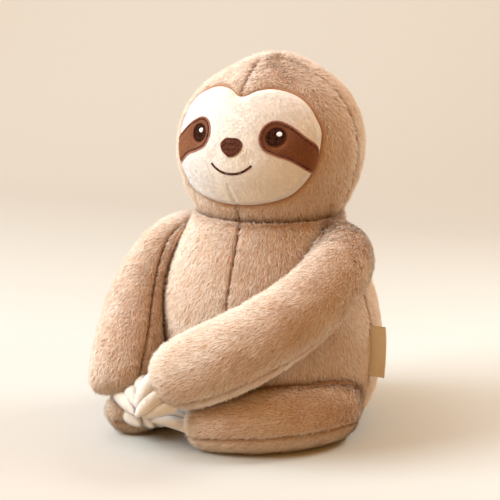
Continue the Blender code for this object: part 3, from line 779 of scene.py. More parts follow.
# %% Grooves and gathers
def line_distance(points, line, reach):
    """How far each point is from a seam line, and how far along the line that is."""
    tree = KDTree(len(line))
    for i, p in enumerate(line):
        tree.insert(Vector(p), i)
    tree.balance()
    away = np.full(len(points), 1.0)
    along = np.zeros(len(points))
    low, high = line.min(0) - reach, line.max(0) + reach
    near = np.nonzero(((points > low) & (points < high)).all(1))[0]
    for i in near:
        _, index, distance = tree.find(Vector(points[i]))
        away[i] = distance
        along[i] = index * LINE_STEP
    return away, along


def without_back(away, points, seam_name):
    """A centre seam is on the front only."""
    if seam_name == "centre_front":
        away[points[:, 1] > 0] = 1.0
    return away


def face_distance(points):
    """How far points are inside the face's outline, and -1 for those that aren't at the front."""
    inside = np.full(len(points), -1.0)
    front = points[:, 1] < -0.1 * HEAD_SIZE[1]
    inside[front] = loop_distance(points[front][:, (0, 2)], FACE_LOOP)
    return inside


def gathers(along, wave, chance):
    """Waves along a seam, from 0 to 1, whose length drifts."""
    drift = 1.3 * np.sin(along / (wave * 3.7) + chance) + 0.9 * np.sin(along / (wave * 1.9) + 2 * chance)
    return 0.5 + 0.5 * np.sin(2 * math.pi * along / wave + drift)


SMOOTH_HEAD = FORMS["head"].tree()[0]
PILE_STAND = 1.7 * MM
GROOVE_DEPTH, GROOVE_WIDTH = 1.5 * MM, 1.5 * MM
GATHER_DEPTH, GATHER_REACH, GATHER_WAVE = 0.8 * MM, 7 * MM, 10 * MM
SEAM_REACH = 30 * MM
for form_name, form in FORMS.items():
    normals = form.normals()
    sunk = np.zeros(len(form.points))
    form.seam = np.full(len(form.points), 1.0)
    form.sunk_seams = []
    whole = form.tree()[0]
    for k, (seam_name, line) in enumerate(SEAMS[form_name].items()):
        away, along = line_distance(form.points, line, SEAM_REACH)
        away = without_back(away, form.points, seam_name)
        form.seam = np.minimum(form.seam, away)
        wave = gathers(along, GATHER_WAVE, k + len(form_name))
        groove = GROOVE_DEPTH * np.exp(-((away / GROOVE_WIDTH) ** 2))
        sunk = np.maximum(sunk, groove + GATHER_DEPTH * wave * np.exp(-((away / GATHER_REACH) ** 2)))
        out = np.array([whole.find_nearest(Vector(p))[1] for p in line])
        form.sunk_seams.append((seam_name, line - out * (PILE_STAND + GROOVE_DEPTH + GATHER_DEPTH / 2)))
    if form_name == "head":
        form.inside_face = inside = face_distance(form.points)
        form.seam = np.minimum(form.seam, np.abs(inside))
        sunk = np.maximum(sunk, GROOVE_DEPTH * np.exp(-((inside / (1.6 * GROOVE_WIDTH)) ** 2)))
    sunk += PILE_STAND
    height = form.points[:, 2]
    sunk[(height < 0.5 * MM) | (np.abs(height - NECK_HEIGHT) < 0.4 * MM)] = 0
    form.points -= normals * sunk[:, None]
print("grooves made")

# %% [markdown]
# ## Panels
# The smooth forms are now cut along their seams into the panels that a maker sews together. Each panel
# gets the thickness of its cloth with Solidify and stands for the CAD node of the same panel.

# %% Which panel a face belongs to
HIDDEN_IN_FACE = 2.0 * MM


def limb_sides(form, degrees):
    """True for the faces on one side of a limb's two seams."""
    columns = form.shape[1]
    place = degrees / 360 * columns
    out = []
    for face in form.faces:
        off_poles = [i for i in face if 0 < i < len(form.points) - 1]
        column = form.column[off_poles].astype(float)
        if column.max() - column.min() > columns / 2:
            column[column < columns / 2] += columns
        out.append((column.mean() - place) % columns < columns / 2)
    return np.array(out)


def face_centres(form):
    """The middle of each face."""
    return np.array([form.points[list(face)].mean(0) for face in form.faces])


def node_centre(node):
    """The middle of a CAD node's box."""
    low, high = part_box(node)
    return (np.array(low) + np.array(high)) / 2


def panels_of(name):
    """The panels of a form: the CAD node's name and which faces are in it."""
    form = FORMS[name]
    centre = face_centres(form)
    if name == "torso":
        base = (np.hypot(centre[:, 0], centre[:, 1]) < BASE_RADIUS) & (centre[:, 2] < 1 * MM)
        behind = centre[:, 1] > SIDE_SEAM_Y
        return {
            "torso_base": base,
            "torso_back": behind & ~base,
            "torso_front_left": ~behind & ~base & (centre[:, 0] > 0),
            "torso_front_right": ~behind & ~base & (centre[:, 0] <= 0),
        }
    if name == "head":
        shown = np.array([form.inside_face[list(face)].mean() for face in form.faces]) < HIDDEN_IN_FACE
        behind = centre[:, 1] > 0
        left = centre[:, 0] > seam_lean(centre[:, 2])
        return {
            "head_back": behind,
            "head_front_left": ~behind & shown & left,
            "head_front_right": ~behind & shown & ~left,
        }
    side = limb_sides(form, LIMB_SEAMS[name])
    nodes = [name + "_upper_panel", name + "_lower_panel"]
    middles = centre[side].mean(0), centre[~side].mean(0)
    straight = sum(np.linalg.norm(a - node_centre(b)) for a, b in zip(middles, nodes))
    crossed = sum(np.linalg.norm(a - node_centre(b)) for a, b in zip(middles[::-1], nodes))
    return dict(zip(nodes if straight < crossed else nodes[::-1], (side, ~side)))


# %% A mesh object from a part of a form
def mesh_object(name, points, faces, material=None):
    """A smooth-shaded mesh object in the scene."""
    mesh = bpy.data.meshes.new(name)
    mesh.from_pydata([tuple(p) for p in points], [], [tuple(int(i) for i in f) for f in faces])
    mesh.update()
    mesh.shade_smooth()
    if material:
        mesh.materials.append(material)
    obj = bpy.data.objects.new(name, mesh)
    bpy.context.scene.collection.objects.link(obj)
    return obj


def give(obj, name, values, kind="FLOAT"):
    """Stores a value or a vector for each point of a mesh."""
    layer = obj.data.attributes.new(name, kind, "POINT")
    layer.data.foreach_set("value" if kind == "FLOAT" else "vector", np.asarray(values, np.float32).ravel())


def baked(obj):
    """Replaces an object's mesh by what its modifiers make of it, and removes them."""
    bpy.context.view_layer.update()
    graph = bpy.context.evaluated_depsgraph_get()
    mesh = bpy.data.meshes.new_from_object(obj.evaluated_get(graph), depsgraph=graph)
    obj.modifiers.clear()
    old = obj.data
    obj.data = mesh
    bpy.data.meshes.remove(old)
    mesh.name = obj.name


def body_of_node(node):
    """The CAD body that a node moves with, found from the node's own parent."""
    parent = frame["nodes"][node].parent
    return next(name for name, body in frame["bodies"].items() if body == parent)


def follow(obj, body):
    """Pieces ride on their body, except an arm's, which only get their place baked into the mesh."""
    if body not in ("left_arm", "right_arm"):
        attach(obj, body)
        return
    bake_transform(obj)


def finish_piece(obj, body, nodes=()):
    """Lets a piece follow its body and hides the CAD nodes that it stands for."""
    follow(obj, body)
    if nodes:
        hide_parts(*nodes)


# %% How near other forms are
# Pile is short where two forms press on each other, and there is none deep inside another form. A
# pressed limb's folds would mislead the test of what is inside it, so its unpressed form answers that.
NEARBY, CLOSE = 10 * MM, 8 * MM


def clearances():
    """Measures how far each point of a form is outside the nearest other form."""
    trees = {name: form.tree() for name, form in FORMS.items()}
    for name, form in FORMS.items():
        gap = np.full(len(form.points), 1.0)
        low, high = form.points.min(0), form.points.max(0)
        for other, tree in trees.items():
            theirs = FORMS[other].points
            least, most = theirs.min(0), theirs.max(0)
            if other == name or (least > high + NEARBY).any() or (most < low - NEARBY).any():
                continue
            near = (form.points > least - CLOSE).all(1) & (form.points < most + CLOSE).all(1)
            index = np.nonzero(near)[0]
            if len(index):
                outside, _, _ = depth_in(form.points[index], tree)
                if other in UNPRESSED:
                    whole, _, _ = depth_in(form.points[index], UNPRESSED[other])
                    outside = np.where(whole < -0.8 * SEWN_IN_DEPTHS[1], whole, np.abs(outside))
                gap[index] = np.minimum(gap[index], outside)
        form.gap = gap
        print(name, "pressed points", int((gap < 1.5 * MM).sum()), "of", len(gap))


clearances()

# %% [markdown]
# ## Pile
# Silky plush is a field of short hairs that lean the same way. Hair particles would not survive an
# export, so Geometry Nodes scatter thin three-sided spikes on each panel, lean them along a direction
# that is stored on the cloth, and make them a plain mesh. Every hair keeps the place, direction and
# chance number of its root, which its material reads. Its normals are halfway between its own sides and
# the cloth, so that the pile is lit as one soft surface.

# %% One hair of pile
HAIR = mesh_object(
    "pile_hair",
    [(0.5 * math.cos(a), 0.5 * math.sin(a), 0) for a in np.radians((90, 210, 330))] + [(0, -0.1, 1)],
    ((0, 1, 3), (1, 2, 3), (2, 0, 3)),
)
give(HAIR, "along", (0, 0, 0, 1))


# %% The pile's node tree
def make_pile_tree():
    """Hairs all over a cloth, each leaning along the direction that is stored there."""
    tree, given, out = new_group(
        "pile",
        "GeometryNodeTree",
        (
            ("Cloth", "Geometry", None),
            ("Hair", "Object", None),
            ("Density", "Float", 800000.0),
            ("Length", "Float", 0.0045),
            ("Width", "Float", 0.0005),
            ("Lean", "Float", 1.35),
            ("Spread", "Float", 0.35),
            ("Sparkle", "Float", 0.2),
            ("Seed", "Int", 1),
            ("Finish", "Material", None),
        ),
        (("Pile", "Geometry"),),
    )
    g = given.outputs
    share = add(tree, "GeometryNodeInputNamedAttribute", {0: "pile"}, data_type="FLOAT").outputs[0]
    spots = add(
        tree,
        "GeometryNodeDistributePointsOnFaces",
        {"Mesh": g["Cloth"], "Density": g["Density"], "Seed": g["Seed"]},
        distribute_method="RANDOM",
    )
    flow = add(tree, "GeometryNodeInputNamedAttribute", {0: "flow"}, data_type="FLOAT_VECTOR").outputs[0]

    def any_way(offset):
        limits = {0: (-1, -1, -1), 1: (1, 1, 1), 8: maths(tree, "ADD", g["Seed"], offset)}
        return add(tree, "FunctionNodeRandomValue", limits, data_type="FLOAT_VECTOR").outputs[0]

    def chance(low, high, offset):
        seed = maths(tree, "ADD", g["Seed"], offset)
        return add(tree, "FunctionNodeRandomValue", {2: low, 3: high, 8: seed}, data_type="FLOAT").outputs[1]

    def vector(operation, a, b=None, scale=None):
        inputs = {key: value for key, value in ((0, a), (1, b), (3, scale)) if value is not None}
        return add(tree, "ShaderNodeVectorMath", inputs, operation=operation).outputs[0]

    root = add(tree, "GeometryNodeInputPosition").outputs[0]
    loose = vector("SCALE", any_way(11), scale=g["Spread"])
    half = add(tree, "ShaderNodeCombineXYZ", {0: 0.5, 1: 0.5, 2: 0.5}).outputs[0]
    locks = []
    for scale, strength in ((110.0, 1.1), (480.0, 1.5)):
        noise = add(tree, "ShaderNodeTexNoise", {"Vector": root, "Scale": scale, "Detail": 1.0}).outputs[1]
        locks.append(vector("SCALE", vector("SUBTRACT", noise, half), scale=strength))
    tuft = vector("ADD", *locks)
    combed = vector("ADD", vector("ADD", flow, loose), tuft)
    leaning = vector("SCALE", combed, scale=g["Lean"])
    way = vector("NORMALIZE", vector("ADD", spots.outputs["Normal"], leaning))
    turn = add(
        tree,
        "FunctionNodeAxesToRotation",
        {0: way, 1: spots.outputs["Normal"]},
        primary_axis="Z",
        secondary_axis="Y",
    ).outputs[0]
    soft = vector("SCALE", any_way(23), scale=g["Sparkle"])
    soft = vector("ADD", soft, vector("SCALE", tuft, scale=0.6))
    soft = vector("NORMALIZE", vector("ADD", spots.outputs["Normal"], soft))

    geometry = spots.outputs["Points"]
    for name, value, kind in (
        ("root_place", root, "FLOAT_VECTOR"),
        ("soft_normal", soft, "FLOAT_VECTOR"),
        ("strand_random", chance(0, 1, 37), "FLOAT"),
    ):
        inputs, settings = {0: geometry, "Name": name, "Value": value}, dict(data_type=kind, domain="POINT")
        geometry = add(tree, "GeometryNodeStoreNamedAttribute", inputs, **settings).outputs[0]

    tall = maths(tree, "MULTIPLY", maths(tree, "MULTIPLY", chance(0.7, 1.15, 41), g["Length"]), share)
    wide = maths(tree, "MULTIPLY", chance(0.6, 1.3, 43), g["Width"])
    size = add(tree, "ShaderNodeCombineXYZ", {0: wide, 1: wide, 2: tall}).outputs[0]
    hair = add(tree, "GeometryNodeObjectInfo", {"Object": g["Hair"]}).outputs["Geometry"]
    placed = add(
        tree,
        "GeometryNodeInstanceOnPoints",
        {"Points": geometry, "Instance": hair, "Rotation": turn, "Scale": size},
    ).outputs[0]
    real = add(tree, "GeometryNodeRealizeInstances", {0: placed}).outputs[0]
    worn = add(tree, "GeometryNodeSetMaterial", {"Geometry": real, "Material": g["Finish"]}).outputs[0]
    tree.links.new(worn, out.inputs[0])
    return tree


PILE_TREE = make_pile_tree()


def set_inputs(modifier, values):
    """Sets a tree's named inputs by their sockets' identifiers."""
    for item in modifier.node_group.interface.items_tree:
        if item.in_out == "INPUT" and item.name in values:
            modifier[item.identifier] = values[item.name]


# %% Growing pile on a panel
HAIR_UV = np.array(
    [(u, v) for k in range(3) for u, v in ((0.2 + 0.2 * k, 0.15), (0.4 + 0.2 * k, 0.15), (0.5, 0.85))]
)
# Shares of a hair's own sides and of the cloth in its normals
OWN_SIDES, CLOTH_SIDE = 0.7, 0.72
SPREAD, SPARKLE = 0.3, 0.2


def grow_pile(name, cloth, seed, finish, density, length, width, lean):
    """A mesh of hairs on a cloth object, each with its own small patch of the UV map."""
    pile = bpy.data.objects.new(name, cloth.data.copy())
    bpy.context.scene.collection.objects.link(pile)
    modifier = pile.modifiers.new("pile", "NODES")
    modifier.node_group = PILE_TREE
    values = dict(Density=density, Length=length, Width=width, Lean=lean, Spread=SPREAD, Sparkle=SPARKLE)
    set_inputs(modifier, values | {"Hair": HAIR, "Seed": seed, "Finish": finish})
    baked(pile)
    mesh = pile.data
    count = len(mesh.vertices) // 4
    side = max(1, math.ceil(math.sqrt(count)))
    cell = np.stack((np.arange(count) % side, np.arange(count) // side), 1)
    uv = (cell[:, None, :] + HAIR_UV[None]) / side
    layer = mesh.uv_layers.new(name="OFBake", do_init=False)
    layer.uv.foreach_set("vector", uv.astype(np.float32).ravel())
    soft, place = np.empty((2, count * 4 * 3), np.float32)
    mesh.attributes["soft_normal"].data.foreach_get("vector", soft)
    mesh.vertices.foreach_get("co", place)
    soft, place = soft.reshape(count, 4, 3), place.reshape(count, 4, 3)
    own = unit(place[:, :3] - place[:, :3].mean(1)[:, None])
    soft[:, :3] = CLOTH_SIDE * soft[:, :3] + OWN_SIDES * own
    mesh.shade_smooth()
    mesh.normals_split_custom_set_from_vertices(unit(soft).reshape(-1, 3))
    return pile


# %% A panel of cloth with its pile
# Ground and pile finish, hairs to the square metre, hair length and width, cloth thickness
PLUSH = (PLUSH_GROUND, PLUSH_PILE, 1.25e6, 4.4 * MM, 0.6 * MM, 1.5 * MM)
# The distances to a seam at which hairs stay shortest, reach their full length and lose their painted shade
SEAM_BARE, SEAM_SHORT, SEAM_PAINTED_SHADE_FADE = 0.35 * MM, 1.9 * MM, 1.15 * MM


def part_hairs(pile, form, seed):
    """Shortens the hairs beside a seam and darkens them with painted shade, so that it shows as a thin line.
    """
    mesh = pile.data
    place = np.empty(len(mesh.vertices) * 3, np.float32)
    mesh.vertices.foreach_get("co", place)
    place = place.reshape(-1, 4, 3)
    root = place[:, :3].mean(1).astype(float)
    coarse = np.empty(len(mesh.vertices), np.float32)
    mesh.attributes["seam"].data.foreach_get("value", coarse)
    near = np.nonzero(coarse[::4] < 5 * MM)[0]
    away = np.full(len(root), 1.0)
    for name, line in form.sunk_seams:
        found = without_back(line_distance(root[near], line, 4 * MM)[0], root[near], name)
        away[near] = np.minimum(away[near], found)
    inside = np.full(len(root), -1.0)
    if form.name == "head":
        front = near[root[near][:, 1] < -0.1 * HEAD_SIZE[1]]
        inside[front] = loop_distance(root[front][:, (0, 2)], FACE_LOOP)
        away = np.minimum(away, np.abs(inside) + 0.7 * MM)
    away += np.random.default_rng(seed).normal(0, 0.22 * MM, len(away))
    kept = np.clip((away - SEAM_BARE) / (SEAM_SHORT - SEAM_BARE), 0.15, 1) * (inside < 0.5 * MM)
    place[:, 3] = root + (place[:, 3] - root) * kept[:, None]
    mesh.vertices.foreach_set("co", place.ravel())
    # Painted shade on the hairs beside the seams and beside the face's edge
    give(pile, "seam_shade", np.repeat(np.exp(-((np.maximum(away, 0) / SEAM_PAINTED_SHADE_FADE) ** 2)), 4))


def make_panel(node, kind, points, faces, share, flow, seed, lean=2.0, sewn=None):
    """The cloth, which stands for the CAD node, and its pile, on the body that the node moves with.
    sewn is the form that a panel is cut from, with its points' painted seam and fold shade and distance to a
    seam."""
    ground, finish, density, length, width, thickness = kind
    cloth = mesh_object(node + "_cloth", points, faces, ground)
    give(cloth, "pile", share)
    give(cloth, "flow", flow, "FLOAT_VECTOR")
    if sewn:
        form, shade, seam = sewn
        # Painted shade of the seams and folds, which the ground's colour reads
        give(cloth, "seam_shade", shade)
        give(cloth, "seam", seam)
    body = body_of_node(node)
    pile = grow_pile(node + "_pile", cloth, seed, finish, density, length, width, lean)
    if sewn:
        part_hairs(pile, form, seed)
    finish_piece(pile, body)
    solid = cloth.modifiers.new("thickness", "SOLIDIFY")
    solid.thickness = thickness
    solid.offset = -1
    baked(cloth)
    finish_piece(cloth, body, (node,))
    print(node, len(faces), "faces,", len(pile.data.vertices) // 4, "hairs")


# The gap at which pile has its full length, the depth at which it ends, and how near is in a plane
PRESSED_GAP, DEEP_INSIDE, IN_PLANE = 3 * MM, 14 * MM, 0.6 * MM
# How far the painted shade of a seam reaches, and that of a fold between two forms
SEAM_SHADE_REACH, FOLD_SHADE_REACH = 1.6 * MM, 4.5 * MM


def make_plush(node, form, mask, seed):
    """A plush panel cut from a form. Its pile is short where the cloth is pressed or sewn, and painted shade
    darkens it at seams and at folds between forms.
    """
    faces = [form.faces[i] for i in np.nonzero(mask)[0]]
    used = sorted({i for face in faces for i in face})
    index = {old: new for new, old in enumerate(used)}
    gap, height = form.gap[used], form.points[used][:, 2]
    share = (0.55 + 0.45 * np.clip(gap / PRESSED_GAP, 0, 1)) * (gap > -DEEP_INSIDE)
    if form.name in ("torso", "head"):
        plane = np.abs(height - NECK_HEIGHT) < IN_PLANE
        rim = {i for face in faces for i in face if not all(plane[index[k]] for k in face)}
        share[plane & ~np.isin(used, list(rim))] = 0
    if form.name == "head":
        share[form.inside_face[used] > 4 * MM] = 0
    else:
        share[height < IN_PLANE] = 0
    faces = [[index[i] for i in face] for face in faces]
    # Painted shade: darker along the seams and in the folds where two forms press together
    shade = np.exp(-((form.seam[used] / SEAM_SHADE_REACH) ** 2))
    near = np.where(gap > 0, gap, -1.8 * gap)
    shade = np.maximum(shade, 0.85 * np.exp(-((near / FOLD_SHADE_REACH) ** 2)))
    upright = np.clip(gap / (9 * MM), 0, 1) * np.clip(np.abs(height - NECK_HEIGHT) / (6 * MM), 0, 1)
    flow = form.flow[used] * (0.15 + 0.85 * upright[:, None])
    sewn = form, shade, form.seam[used]
    make_panel(node, PLUSH, form.points[used], faces, share, flow, seed, sewn=sewn)


# %% The plush panels
# Round the face the hood's pile lies towards the face's edge, over the seam.
head = FORMS["head"]
away = head.points - np.array((0, 0, NECK_HEIGHT + HEAD_MIDDLE * HEAD_SIZE[2]))
away[:, 1] *= 0.2
away = unit(away)
near_face = 0.6 * np.exp(-((np.maximum(-head.inside_face, 0) / (7 * MM)) ** 2))[:, None]
head.flow = head.flow * (1 - near_face) - away * near_face
normals = head.normals()
head.flow = unit(head.flow - normals * np.einsum("ij,ij->i", head.flow, normals)[:, None])

seed = 100
for form_name, form in FORMS.items():
    for node, mask in panels_of(form_name).items():
        seed += 50
        make_plush(node, form, mask, seed)

# %% [markdown]
# ## The front of the head as a grid
# The face is one panel of cream minky with cloth patches and satin embroidery on it. All of it is drawn
# in front view and has to lie on the curved head, one layer on the other. Rays from the front find the
# head once, on a grid. The grid takes the dimples that the embroidery pulls in and the dart that shapes
# the chin, and everything on the face then reads its place and its direction from it.

# %% Depths, dimples and the dart
GRID_STEP = 1.25 * MM
GRID_X = np.arange(-0.072, 0.0721, GRID_STEP)
GRID_Z = np.arange(0.174, 0.292, GRID_STEP)
EYE_SHARE, EYE_RADIUS = (0.415, 0.541), 7.2 * MM
NOSE_SHARE, MOUTH_SHARE = (-0.008, 0.476), (0, 0.375)
EYES = {"left": on_head(EYE_SHARE), "right": on_head(EYE_SHARE, -1)}
# Place, depth and reach of each dimple
DIMPLES = [(centre, 1.6 * MM, 11 * MM) for centre in EYES.values()]
DIMPLES += [(on_head(NOSE_SHARE), 0.8 * MM, 13 * MM)]
DIMPLES += [(on_head((side * 0.2, 0.41)), 0.9 * MM, 6 * MM) for side in (-1, 1)]
DART = np.array(((-0.0035, 0.2045), (-0.001, 0.196), (0.0015, 0.1835)))
DART_DEPTH, DART_WIDTH = 1.9 * MM, 1.25 * MM


def dart_depth(places):
    """A short sewn fold that runs up from the chin and fades out."""
    height = np.clip((DART[0, 1] - places[:, 1]) / (DART[0, 1] - DART[-1, 1]), 0, 1)
    middle = np.interp(-places[:, 1], -DART[:, 1], DART[:, 0])
    away = places[:, 0] - middle
    fold = np.exp(-((away / DART_WIDTH) ** 2))
    beside = np.exp(-(((away - 3.2 * DART_WIDTH) / (1.6 * DART_WIDTH)) ** 2))
    return DART_DEPTH * np.sqrt(height) * (fold - 0.35 * beside)


front = np.zeros((len(GRID_X), len(GRID_Z)))
for i, x in enumerate(GRID_X):
    for j, z in enumerate(GRID_Z):
        hit = SMOOTH_HEAD.ray_cast(Vector((x, -0.2, z)), Vector((0, 1, 0)))[0]
        front[i, j] = hit.y if hit else 0
for _ in range(3):
    front[1:-1] = (front[:-2] + 2 * front[1:-1] + front[2:]) / 4
    front[:, 1:-1] = (front[:, :-2] + 2 * front[:, 1:-1] + front[:, 2:]) / 4
grid_places = np.stack(np.meshgrid(GRID_X, GRID_Z, indexing="ij"), 2).reshape(-1, 2)
sunk = dart_depth(grid_places)
for centre, depth, reach in DIMPLES:
    sunk += depth * np.exp(-(np.linalg.norm(grid_places - centre, axis=1) / reach) ** 2)
front += sunk.reshape(front.shape)
slope_x, slope_z = np.gradient(front, GRID_STEP)
facing = np.stack((slope_x, -np.ones_like(front), slope_z), 2)
FRONT = np.dstack((front, unit(facing)))
print("grid", front.shape, "nearest", round(float(front.min()), 4))

# %% Reading the grid
FACE_RISE, FACE_TUCK, FACE_ROUND = 0.1 * MM, 2.8 * MM, 2.6 * MM


def on_face(places, lift=0.0):
    """Points on the face panel behind places in front view, and the way that they face."""
    places = np.asarray(places, float)
    u = (places[:, 0] - GRID_X[0]) / GRID_STEP
    v = (places[:, 1] - GRID_Z[0]) / GRID_STEP
    i = np.clip(np.floor(u).astype(int), 0, len(GRID_X) - 2)
    j = np.clip(np.floor(v).astype(int), 0, len(GRID_Z) - 2)
    a, b = (u - i)[:, None], (v - j)[:, None]
    low = FRONT[i, j] * (1 - a) + FRONT[i + 1, j] * a
    high = FRONT[i, j + 1] * (1 - a) + FRONT[i + 1, j + 1] * a
    found = low * (1 - b) + high * b
    inside = np.maximum(loop_distance(places, FACE_LOOP), 0)
    rise = FACE_RISE - (FACE_RISE + FACE_TUCK) * np.exp(-((inside / FACE_ROUND) ** 2))
    point = np.stack((places[:, 0], found[:, 0], places[:, 1]), 1)
    return point + found[:, 1:] * (rise + lift)[:, None], found[:, 1:]


def sheet(outline, centre, rings):
    """Places in front view from a centre out to an outline, and the faces between them."""
    shares = np.arange(1, rings + 1) / rings
    places = centre + shares[:, None, None] * (outline - centre)[None]
    count = len(outline)
    index = np.arange(rings * count).reshape(rings, count) + 1
    after = np.roll(index, -1, axis=1)
    quads = np.stack((index[:-1], index[1:], after[1:], after[:-1]), 2).reshape(-1, 4)
    faces = [(0, int(a), int(b)) for a, b in zip(index[0], after[0])] + [tuple(map(int, q)) for q in quads]
    places = np.vstack((centre[None], places.reshape(-1, 2)))
    ring = outline - centre
    following = np.roll(ring, -1, axis=0)
    turned = (ring[:, 0] * following[:, 1] - ring[:, 1] * following[:, 0]).sum()
    return places, faces if turned > 0 else [face[::-1] for face in faces]


def downhill(facing):
    """The way down a surface at each point."""
    return unit(np.array((0, 0, -1)) - facing * -facing[:, 2:3])


# %% [markdown]
# ## Cream minky
# Minky has a pile so short and dense that it reads as a soft skin. It is grown in the same way as the
# plush, with finer and shorter hairs, on the face panel and later on the claws.

# %% The face panel
MINKY_DEEP, MINKY_LIGHT = linear(222, 216, 210), linear(238, 237, 236)
MINKY_NAP = pile_material("minky_nap", MINKY_DEEP, MINKY_LIGHT, 0.86, 0.35, 0.25)
MINKY_GROUND = cloth_material("minky_ground", linear(228, 207, 178), linear(248, 236, 215), 1400, 0.4, 0.2)
MINKY = (MINKY_GROUND, MINKY_NAP, 2.3e6, 1.5 * MM, 0.36 * MM, 1.2 * MM)

PATCH_SHARES = (
    (0.262, 0.54),
    (0.30, 0.61),
    (0.40, 0.636),
    (0.53, 0.607),
    (0.67, 0.54),
    (0.80, 0.452),
    (0.80, 0.287),
    (0.70, 0.33),
    (0.56, 0.398),
    (0.41, 0.435),
    (0.31, 0.47),
)
PATCH_LOOPS = {}
places, faces = sheet(FACE_LOOP, on_head((0, HEAD_MIDDLE)), 58)
points, facing = on_face(places)
share = np.clip(0.35 + loop_distance(places, FACE_LOOP) / (4 * MM), 0.35, 1)
for name, side in (("left", 1), ("right", -1)):
    PATCH_LOOPS[name] = smooth_loop([on_head(p, side) for p in PATCH_SHARES], 10)
    share *= loop_distance(places, PATCH_LOOPS[name]) < 0.8 * MM
make_panel("face_panel", MINKY, points, faces, share, downhill(facing), 2000)

# %% The eye patches
PATCH_MIDDLE = (0.55, 0.50)
PATCH_RISE, PATCH_TUCK = 0.9 * MM, 0.15 * MM
EYE_SINK = 0.75 * MM
PATCH_PILE = pile_material("patch_pile", linear(104, 58, 34), linear(184, 120, 80), 0.62, 0.6, 0.3)
PATCH_GROUND = cloth_material("patch_ground", linear(92, 52, 32), linear(140, 88, 58), 1200, 0.5, 0.1)
PATCH = (PATCH_GROUND, PATCH_PILE, 2.6e6, 1.5 * MM, 0.36 * MM, 0.5 * MM)


def within_face(outline, centre, margin):
    """An outline drawn back towards a centre where it would leave the face panel."""
    shares = np.linspace(0, 1, 201)
    out = []
    for p in outline:
        line = centre + shares[:, None] * (p - centre)
        clear = np.nonzero(loop_distance(line, FACE_LOOP) > margin)[0]
        out.append(line[clear.max()])
    return np.array(out)


for seed, (name, side) in enumerate((("left", 1), ("right", -1))):
    outline = PATCH_LOOPS[name]
    centre = on_head(PATCH_MIDDLE, side)
    places, faces = sheet(within_face(outline, centre, 0.2 * MM), centre, 26)
    edge = np.maximum(loop_distance(places, outline), 0)
    from_eye = np.linalg.norm(places - EYES[name], axis=1)
    lift = PATCH_RISE - (PATCH_RISE - PATCH_TUCK) * np.exp(-((edge / (1.5 * MM)) ** 2))
    lift -= EYE_SINK * np.exp(-((from_eye / (1.22 * EYE_RADIUS)) ** 6))
    points, facing = on_face(places, lift)
    share = np.clip((edge - 2.2 * MM) / (1.2 * MM), 0, 1) * np.clip((from_eye - EYE_RADIUS) / (1 * MM), 0, 1)
    flow = downhill(facing)
    make_panel(name + "_eye_patch", PATCH, points, faces, share, flow, 2100 + seed)

# %% [markdown]
# ## Satin embroidery
# The eyes, the nose, the mouth and the borders of the patches are satin stitch: threads laid side by
# side, each a small ridge that dips into the cloth at both ends. One thread is modelled, and Geometry
# Nodes put it at every stitch, with the stitch's own direction and size, over a thin ground that closes
# the gaps.

# %% One stitch
STITCH = mesh_object(
    "one_stitch",
    [(-0.5, 0, 0)]
    + [(x, y, z) for x in (-0.32, 0.32) for y, z in ((-0.5, 0), (-0.3, 0.8), (0.3, 0.8), (0.5, 0))]
    + [(0.5, 0, 0)],
    [(1, 5, 6, 2), (2, 6, 7, 3), (3, 7, 8, 4), (4, 8, 5, 1)]
    + [(0, 1, 2), (0, 2, 3), (0, 3, 4), (0, 4, 1)]
    + [(9, 6, 5), (9, 7, 6), (9, 8, 7), (9, 5, 8)],
)


def make_stitch_tree():
    """Threads at the points that hold a stitch, joined to the ground that the other points hold."""
    tree, given, out = new_group(
        "stitches",
        "GeometryNodeTree",
        (
            ("Stitches", "Geometry", None),
            ("Thread", "Object", None),
            ("Thread width", "Float", 0.0005),
            ("Thread height", "Float", 0.0004),
            ("Seed", "Int", 1),
            ("Finish", "Material", None),
        ),
        (("Stitches", "Geometry"),),
    )
    g = given.outputs

    def stored(name, kind):
        return add(tree, "GeometryNodeInputNamedAttribute", {0: name}, data_type=kind).outputs[0]

    is_stitch = maths(tree, "GREATER_THAN", stored("span", "FLOAT"), 1e-6)
    turn = add(
        tree,
        "FunctionNodeAxesToRotation",
        {0: stored("across", "FLOAT_VECTOR"), 1: stored("facing", "FLOAT_VECTOR")},
        primary_axis="X",
        secondary_axis="Z",
    ).outputs[0]
    sides = {0: stored("span", "FLOAT"), 1: g["Thread width"], 2: g["Thread height"]}
    size = add(tree, "ShaderNodeCombineXYZ", sides).outputs[0]
    chance = add(tree, "FunctionNodeRandomValue", {2: 0.0, 3: 1.0, 8: g["Seed"]}, data_type="FLOAT").outputs[1]
    marked = add(
        tree,
        "GeometryNodeStoreNamedAttribute",
        {0: g["Stitches"], "Name": "strand_random", "Value": chance},
        data_type="FLOAT",
        domain="POINT",
    ).outputs[0]
    thread = add(tree, "GeometryNodeObjectInfo", {"Object": g["Thread"]}).outputs["Geometry"]
    placed = add(
        tree,
        "GeometryNodeInstanceOnPoints",
        {"Points": marked, "Selection": is_stitch, "Instance": thread, "Rotation": turn, "Scale": size},
    ).outputs[0]
    real = add(tree, "GeometryNodeRealizeInstances", {0: placed}).outputs[0]
    ground = add(
        tree, "GeometryNodeDeleteGeometry", {"Geometry": marked, "Selection": is_stitch}, domain="POINT"
    ).outputs[0]
    joined = tree.nodes.new("GeometryNodeJoinGeometry")
    for socket in (ground, real):
        tree.links.new(socket, joined.inputs[0])
    dressed = {"Geometry": joined.outputs[0], "Material": g["Finish"]}
    tree.links.new(add(tree, "GeometryNodeSetMaterial", dressed).outputs[0], out.inputs[0])
    return tree


STITCH_TREE = make_stitch_tree()

# %% Rows and fills of stitches
THREAD_WIDTH, THREAD_HEIGHT, THREAD_PITCH = 0.5 * MM, 0.42 * MM, 0.4 * MM
LONGEST_STITCH = 4.5 * MM


